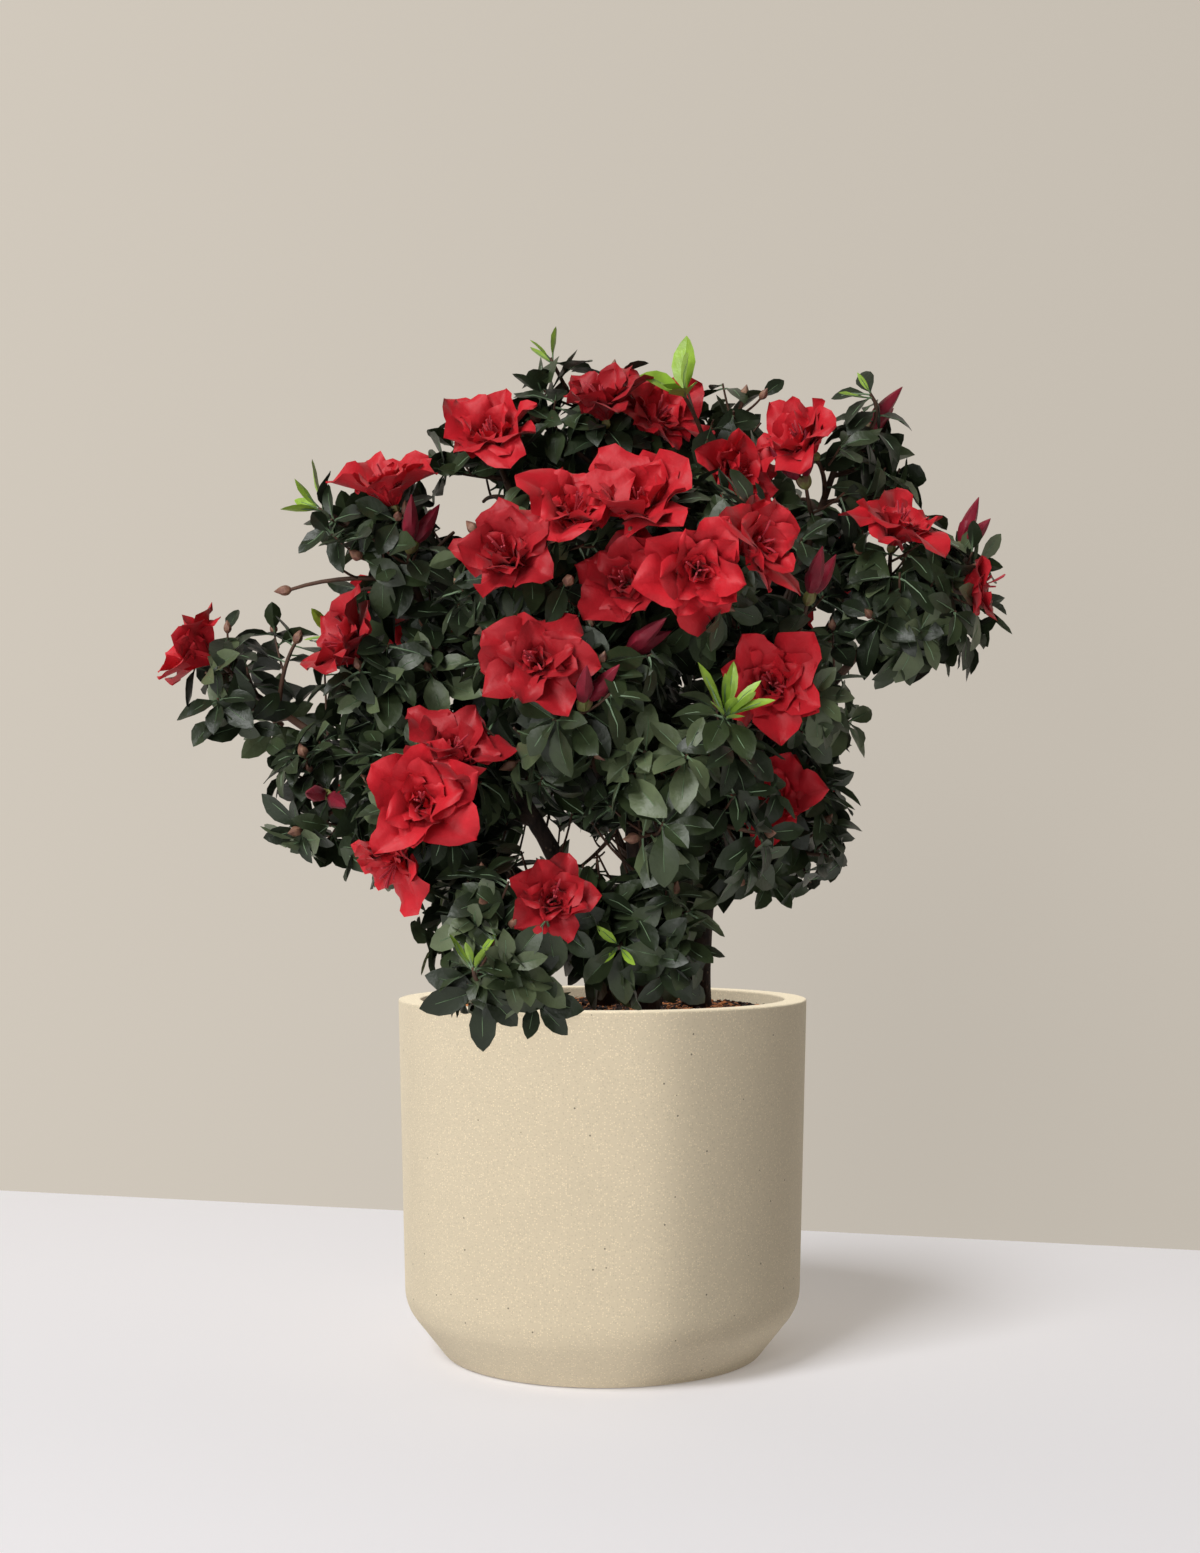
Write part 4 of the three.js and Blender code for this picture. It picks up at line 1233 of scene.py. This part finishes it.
def strew(name, ground, tree, values):
    """Strews crumbs over the ground mesh, as a plain mesh of their own."""
    holder = in_scene(name + "_ground", ground)
    modifier = holder.modifiers.new("strewn", "NODES")
    modifier.node_group = tree
    for item in tree.interface.items_tree:
        if item.in_out == "INPUT" and item.name in values:
            modifier[item.identifier] = values[item.name]
    depsgraph = bpy.context.evaluated_depsgraph_get()
    mesh = bpy.data.meshes.new_from_object(holder.evaluated_get(depsgraph))
    mesh.name = name
    bpy.data.objects.remove(holder)
    carry(in_scene(name, mesh))


def soil_top(out, angle):
    """The potting mix's uneven top at a distance out and a turn, kept under the rim."""
    points = np.stack([out * np.cos(angle), out * np.sin(angle), np.zeros_like(out)], -1)
    heap = 2.2 * np.exp(-(((points[..., 0] - 30) / 60) ** 2) - (points[..., 1] / 60) ** 2)
    points[..., 2] = SOIL_TOP - 1 + heap + ripple(points, 17, 4) * 1.1 + ripple(points, 6, 5) * 0.8
    return points


class AZALEA_OT_potting_mix(bpy.types.Operator):
    """Fill the planter with potting mix and strew bark over it"""

    bl_idname = "azalea.potting_mix"
    bl_label = "Potting mix"

    def execute(self, context):
        p = PLANTER
        clear = 0.5
        share = (SOIL_TOP - p.shoulder_height) / (p.height - p.shoulder_height)
        shoulder = p.shoulder_radius - p.wall
        edge = shoulder + share * (p.rim_radius - p.shoulder_radius) - clear
        sides, rings = 144, 48
        angle = np.arange(sides) * 2 * math.pi / sides
        outs = edge * np.linspace(1, 0.02, rings)
        top = soil_top(outs[:, None] + 0 * angle, angle + 0 * outs[:, None])
        walls = np.array([
            [p.foot_radius / 2, p.floor + TOUCH_GAP],
            [p.foot_radius - p.wall / 2 - clear, p.floor + TOUCH_GAP],
            [shoulder - clear, p.shoulder_height],
        ])
        body = skinned(np.concatenate([turned(walls, sides), top])[None])
        peat, bark = damp_potting_mix(), composted_bark()
        add_piece("potting_mix_body", body, peat, 60, ["potting_mix"])

        ground = bpy.data.meshes.new("soil_surface")
        index = np.arange(top.shape[0] * top.shape[1]).reshape(top.shape[:2])
        inner = top.reshape(-1, 3) * [0.965, 0.965, 1] * MM  # crumbs keep off the planter's wall
        ground.from_pydata(inner.tolist(), [], grid_triangles(index, around=True).tolist())
        tree = scatter_tree()
        for name, values in CRUMBS.items():
            skin = peat if name == "peat_crumbs" else bark
            strew(name, ground, tree, dict(zip(CRUMB_INPUTS, (*values, skin))))
        return {"FINISHED"}


def barky(rings, seed, relief=0.09):
    """Rings of a limb pushed in and out into lengthwise ridges and knots."""
    middle = rings.mean(axis=2, keepdims=True)
    outward = rings - middle
    stretched = rings * [1, 1, 0.22]
    height = ripple(stretched, 4.5, seed) * 0.6 + ripple(rings, 13, seed + 1) * 0.4
    return middle + outward * (1 + relief * height[..., None])


class AZALEA_OT_limbs(bpy.types.Operator):
    """Grow the stems and boughs, with the relief of their bark"""

    bl_idname = "azalea.limbs"
    bl_label = "Stems and boughs"

    def execute(self, context):
        wood = limbs()
        bark = stem_bark()
        shapes = []
        shares = np.linspace(0, 1, 64)
        for number, (name, curve) in enumerate(wood.trunks.items()):
            rooted = curve.copy()
            rooted[0, 2] -= 5  # the foot goes on into the potting mix
            radii = trunk_radii(TRUNKS[name], shares, curve_length(curve))[None]
            shapes.append(skinned(barky(rings_along(rooted[None], radii, 30), 20 + number)))
        add_piece("stems", together(shapes), bark, 60, [f"trunk_{name}" for name in TRUNKS])

        curves = np.array(list(wood.boughs.values()))
        lengths = np.array([curve_length(curve) for curve in curves])[:, None]
        shares = np.linspace(0, 1, 30)
        radii = BARK.bough_root + (BARK.bough_tip - BARK.bough_root) * shares
        radii = radii * (1 + 0.45 * np.exp(-shares * lengths / 9))  # a collar at the trunk
        rings = barky(rings_along(curves, radii, 16), 40)
        add_piece("boughs", skinned(rings), bark, 60, [f"bough_{name}" for name in MASSES])
        return {"FINISHED"}


def tapered(curves, start, end, steps, sides):
    """Rings of points round curves that all taper alike."""
    return rings_along(curves, np.tile(np.linspace(start, end, steps), (len(curves), 1)), sides)


class AZALEA_OT_twigs(bpy.types.Operator):
    """Carry the boughs on into stems, shoots and finer twigs"""

    bl_idname = "azalea.twigs"
    bl_label = "Twigs"

    def execute(self, context):
        stems = np.array([
            [line[0] - 3 * unit(line[1] - line[0]), line.mean(axis=0), line[1]]
            for line in limbs().stems.values()
        ])
        shoots = np.array([shoot.curve for grown in growth() for shoot in grown.shoots])
        sides = np.array([twig for grown in growth() for twig in grown.sides])
        shape = together([
            skinned(barky(tapered(stems, 3.0, 1.9, 12, 10), 60, 0.06)),
            skinned(tapered(shoots, 1.9, 1.2, 8, 7)),
            skinned(tapered(sides, *FINER.radius, 6, 6)),
        ])
        add_piece("twigs", shape, young_bark(), 60, [f"foliage_{name}" for name in MASSES])
        return {"FINISHED"}


class AZALEA_OT_leaves(bpy.types.Operator):
    """Set leaves on every twig"""

    bl_idname = "azalea.leaves"
    bl_label = "Leaves"

    def execute(self, context):
        look = context.scene.azalea_foliage
        ribs = []
        for number, (tint, (roots, lies, faces, size, broad)) in enumerate(foliage().items()):
            rng = np.random.default_rng(100 + number)
            count = len(roots)
            young = tint == "young"
            lengths = size * look.leaf_length / MM * (0.95 if young else 1)
            widths = size * look.leaf_width / MM * broad * rng.uniform(0.88, 1.1, count)
            droop = rng.normal(0.15, 0.2, count) if young else rng.normal(0.55, 0.3, count)
            droop = np.where(np.abs(droop) < 0.05, 0.05, droop)
            fold = rng.uniform(0.12, 0.4, count)
            shape, rib = leaf_blades(roots, lies, faces, lengths, widths, droop, fold, rng)
            ribs.append(rib)
            colour = tuple(getattr(look, tint))
            skin = leaf_skin(f"azalea_leaf_{tint}", colour, shade(colour, 0.72))
            add_piece(f"leaves_{tint}", shape, skin, 26)
        add_piece("leaf_midribs", together(ribs), leaf_rib(), 60)
        return {"FINISHED"}


class AZALEA_OT_blooms(bpy.types.Operator):
    """Open the double red blooms"""

    bl_idname = "azalea.blooms"
    bl_label = "Blooms"

    def execute(self, context):
        look = context.scene.azalea_blooms
        petal = tuple(look.petal)
        skins = [
            petal_skin("azalea_petal_bright", petal, shade(petal, 0.86)),
            petal_skin("azalea_petal_deep", shade(petal, 0.74), shade(petal, 0.62)),
        ]
        for number, name in enumerate(("blooms_bright", "blooms_deep")):
            chosen = [flower for flower in flowers() if (flower.seed % 3 == 0) == bool(number)]
            petals = np.concatenate([bloom_petals(flower, look.size * flower.size) for flower in chosen])
            add_piece(name, thin_blades(petals, 0.35), skins[number], 70)

        threads = []
        for flower in flowers():
            rng = np.random.default_rng(flower.seed + 500)
            for _ in range(STAMENS):
                lean, turn, length = rng.uniform(0.05, 0.4), rng.uniform(0, 6.3), rng.uniform(20, 30)
                end = [math.sin(lean) * math.cos(turn), math.sin(lean) * math.sin(turn), math.cos(lean)]
                line = np.array([[0, 0, 4], [0, 0, length * 0.6], np.array(end) * length])
                threads.append(placed(line, flower.base, flower.faces, 0))
        threads = np.array(threads)
        radii = np.tile([0.5, 0.45, 0.4, 0.35, 0.75, 0.6], (len(threads), 1))  # a thread with a knob
        skin = petal_skin("azalea_stamen", linear("#c4404a"), linear("#a02434"))
        add_piece("stamens", skinned(rings_along(threads, radii, 5)), skin, 70)
        return {"FINISHED"}


class AZALEA_OT_buds(bpy.types.Operator):
    """Add flower buds and the small brown buds in the leaf whorls"""

    bl_idname = "azalea.buds"
    bl_label = "Buds"

    def execute(self, context):
        look = context.scene.azalea_blooms
        rng = np.random.default_rng(77)
        with_bud = {"shoot": 0.5, "twig": 0.16}  # the share of leafy tips that end in a bud
        large, small, cups = [], [], []
        for grown in growth():
            for shoot in grown.shoots:
                if shoot.kind == "bud":
                    turn = rng.uniform(0, 6.3)
                    for lean, length in ((0.12, 34), (0.75, 30)):
                        turn += 2.4
                        way = unit(shoot.faces + lean * swung(*square_to(shoot.faces), turn))
                        large.append(bud_rings(shoot.tip + way * 6, way, length, 6.2, 0.7, turn))
                        cups.append(bud_rings(shoot.tip - way * 2, way, 14, 4.4, 0.2, turn))
                elif shoot.kind == "bare" or (shoot.kind == "leafy" and rng.random() < with_bud["shoot"]):
                    small.append(tip_bud(shoot.curve, rng.uniform(10, 13), 4.0))
                elif shoot.kind == "bloom":
                    base = shoot.tip - shoot.faces * 11
                    cups.append(bud_rings(base, shoot.faces, 10, 3.6, 0.2, 0.0))
            for twig in grown.sides:
                if rng.random() < with_bud["twig"]:
                    small.append(tip_bud(twig, rng.uniform(8, 11), 3.2))
        bud_colour = tuple(look.bud)
        crimson = petal_skin("azalea_bud_crimson", bud_colour, shade(bud_colour, 0.6))
        scales = bud_skin("azalea_bud_scale", linear("#8f6a52"), linear("#6a4238"), 4)
        sepals = bud_skin("azalea_sepal", linear("#7d8a45"), linear("#6b4a34"), 6)
        add_piece("flower_buds", skinned(np.array(large)), crimson, 50)
        add_piece("leaf_buds", skinned(np.array(small)), scales, 50)
        add_piece("sepals", skinned(np.array(cups)), sepals, 50)
        return {"FINISHED"}


def flat_stage_piece(name, corners, material):
    """A flat piece of the stage from its corners in metres."""
    mesh = bpy.data.meshes.new(name)
    mesh.from_pydata(corners, [], [tuple(range(len(corners)))])
    mesh.materials.append(material)
    in_scene(name, mesh)


def floor_paint(look):
    """Matte white floor paint, which glows a little so that shadows on it stay pale."""
    made = bpy.data.materials.new("floor_matte_white")
    made.use_nodes = True
    inputs = made.node_tree.nodes["Principled BSDF"].inputs
    inputs["Base Color"].default_value = (*look.floor, 1)
    inputs["Roughness"].default_value = 0.8
    inputs["Emission Color"].default_value = (0.153, 0.143, 0.132, 1)
    inputs["Emission Strength"].default_value = 1.0
    return made


def wall_paint(look):
    """Matte wall paint with an even glow that stands in for its light, made a little darker to the right
    with painted shade, and clear from behind.
    """
    made = bpy.data.materials.new("wall_matte_paint")
    tree = empty_tree(made)
    place = node(tree, "ShaderNodeTexCoord").outputs["Object"]
    across = node(tree, "ShaderNodeSeparateXYZ", {0: place}).outputs["X"]
    # Painted shade: the glow is a little weaker to the right, as if the wall's light fell off there.
    painted_falloff = node(
        tree, "ShaderNodeMapRange",
        {"Value": across, "From Min": -0.6, "From Max": 0.6, "To Min": 0.95, "To Max": 0.84},
    ).outputs["Result"]
    paint = node(tree, "ShaderNodeBsdfDiffuse", {"Color": (*shade(look.wall, 0.12), 1)})
    glow = node(tree, "ShaderNodeEmission", {"Color": (*look.wall, 1), "Strength": painted_falloff})
    lit = node(tree, "ShaderNodeAddShader", {0: paint.outputs[0], 1: glow.outputs[0]})
    behind = node(tree, "ShaderNodeNewGeometry").outputs["Backfacing"]
    clear = node(tree, "ShaderNodeBsdfTransparent")
    mixed = node(tree, "ShaderNodeMixShader", {0: behind, 1: lit.outputs[0], 2: clear.outputs[0]})
    node(tree, "ShaderNodeOutputMaterial", {"Surface": mixed.outputs[0]})
    return made


def studio_world():
    """A dim even world for the light, and the wall's colour where the camera sees past the wall."""
    world = bpy.data.worlds.new("studio")
    tree = empty_tree(world)
    dim = node(tree, "ShaderNodeBackground", {"Color": (*linear("#d9d4cc"), 1), "Strength": 0.08})
    seen = node(tree, "ShaderNodeBackground", {"Color": (*linear("#c6bfb2"), 1), "Strength": 1.0})
    direct = node(tree, "ShaderNodeLightPath").outputs["Is Camera Ray"]
    sky = node(tree, "ShaderNodeMixShader", {0: direct, 1: dim.outputs[0], 2: seen.outputs[0]})
    node(tree, "ShaderNodeOutputWorld", {"Surface": sky.outputs[0]})
    return world


def add_light(name, kind, place, aim, power, **settings):
    """A light at a place, turned to where it aims."""
    lamp = bpy.data.lights.new(name, kind)
    lamp.energy = power
    for key, value in settings.items():
        setattr(lamp, key, value)
    # Left on, this counts such lights twice on pieces that have a light of their own.
    lamp.cycles.use_multiple_importance_sampling = False
    light = in_scene(name, lamp)
    light.location = place
    way = Vector(aim) - Vector(place)
    light.rotation_euler = way.to_track_quat("-Z", "Y").to_euler()
    return light


def light_group(name, meshes, state):
    """A group of pieces for a light to fall on or be blocked by, or to pass by (EXCLUDE)."""
    group = bpy.data.collections.new(name)
    for piece in bpy.context.scene.objects:
        if piece.type == "MESH" and piece.data.name in meshes:
            group.objects.link(piece)
    for member in group.collection_objects:
        member.light_linking.link_state = state
    return group


def lights_only(light, lit, shaded_by):
    """Makes a light fall on some pieces alone, and be blocked by some alone."""
    light.light_linking.receiver_collection = light_group(light.name + "_lit", lit, "INCLUDE")
    light.light_linking.blocker_collection = light_group(light.name + "_shade", shaded_by, "INCLUDE")


def passes_by(light, unlit):
    """Makes a light fall on all but some pieces."""
    light.light_linking.receiver_collection = light_group(light.name + "_unlit", unlit, "EXCLUDE")


KEY_LIGHT = ("AREA", (-2.75, -3.52, 4.2), (0, 0, 0.3), 275)
POT = ["cast_planter"]
FILLED_POT = ["cast_planter", "potting_mix_body", "bark_chips", "coir_fibres", "peat_crumbs"]


class AZALEA_OT_stage(bpy.types.Operator):
    """Set up the floor, wall, soft light and camera"""

    bl_idname = "azalea.stage"
    bl_label = "Stage"

    def execute(self, context):
        scene = context.scene
        look = scene.azalea_stage

        half, under = 5, -0.0003
        corners = [(-half, -half, under), (half, -half, under), (half, half, under), (-half, half, under)]
        flat_stage_piece("floor", corners, floor_paint(look))
        left, right = np.array([-0.620, 0.679]), np.array([0.519, 0.355])  # on the foot of the wall
        along_wall = (right - left) / np.linalg.norm(right - left)
        start, end = left - along_wall * 4, right + along_wall * 4
        corners = [(*start, -0.001), (*end, -0.001), (*end, 4.0), (*start, 4.0)]
        flat_stage_piece("wall", corners, wall_paint(look))
        scene.world = studio_world()
        scene.view_settings.view_transform = "Standard"

        passes_by(add_light("key", *KEY_LIGHT, size=2.4), POT + ["floor"])
        passes_by(add_light("front", "AREA", (-1.6, -3.2, 0.9), (0, 0, 0.2), 38, size=1.0), POT)

        # The crown throws no shadow on the planter and the floor, so they have a key of their own.
        lights_only(add_light("planter_key", *KEY_LIGHT, size=2.4), POT + ["floor"], POT)

        # The crown would keep the key off the potting mix, so a steep light falls on it and the rim.
        rim = add_light("rim", "SUN", (-0.08, -0.06, 0.99), (0, 0, 0), 2.6, angle=0.3)
        lights_only(rim, FILLED_POT, FILLED_POT)

        # The edge of this spot's cone falls on the planter where its lit side ends.
        side = add_light(
            "planter_side", "SPOT", (1.12, -2.78, 0.4), (-0.796, -0.642, 0.15), 108,
            spot_size=math.radians(40), spot_blend=0.07, shadow_soft_size=0.02,
        )
        lights_only(side, POT, POT)

        lens = bpy.data.cameras.new("camera")
        lens.lens = 46.36
        lens.sensor_width = 36
        lens.shift_y = 0.0596
        lens.clip_start, lens.clip_end = 0.05, 30
        scene.camera = in_scene("camera", lens)
        scene.camera.location = (-0.0017, -1.380, 0.3305)
        scene.camera.rotation_euler = (math.radians(90), 0, 0)
        return {"FINISHED"}


OPERATORS = (
    AZALEA_OT_planter, AZALEA_OT_potting_mix, AZALEA_OT_limbs, AZALEA_OT_twigs, AZALEA_OT_leaves,
    AZALEA_OT_blooms, AZALEA_OT_buds, AZALEA_OT_stage,
)
SETTINGS = {
    "azalea_planter": PlanterSettings, "azalea_foliage": FoliageSettings,
    "azalea_blooms": BloomSettings, "azalea_stage": StageSettings,
}


class AZALEA_PT_shrub(bpy.types.Panel):
    """The steps that build the shrub, with their settings"""

    bl_idname = "AZALEA_PT_shrub"
    bl_label = "Azalea shrub"
    bl_space_type = "VIEW_3D"
    bl_region_type = "UI"
    bl_category = "Azalea"

    def draw(self, context):
        for name, settings in SETTINGS.items():
            box = self.layout.box()
            for field in settings.__annotations__:
                box.prop(getattr(context.scene, name), field)
        for step in OPERATORS:
            self.layout.operator(step.bl_idname)


def register():
    for settings in SETTINGS.values():
        bpy.utils.register_class(settings)
    for name, settings in SETTINGS.items():
        setattr(bpy.types.Scene, name, PointerProperty(type=settings))
    for step in OPERATORS:
        bpy.utils.register_class(step)
    bpy.utils.register_class(AZALEA_PT_shrub)


def unregister():
    bpy.utils.unregister_class(AZALEA_PT_shrub)
    for step in reversed(OPERATORS):
        bpy.utils.unregister_class(step)
    for name, settings in SETTINGS.items():
        delattr(bpy.types.Scene, name)
        bpy.utils.unregister_class(settings)


def main():
    """Build everything."""
    register()
    bpy.ops.azalea.planter()
    bpy.ops.azalea.potting_mix()
    bpy.ops.azalea.limbs()
    bpy.ops.azalea.twigs()
    bpy.ops.azalea.leaves()
    bpy.ops.azalea.blooms()
    bpy.ops.azalea.buds()
    bpy.ops.azalea.stage()


if __name__ == "__main__":
    main()
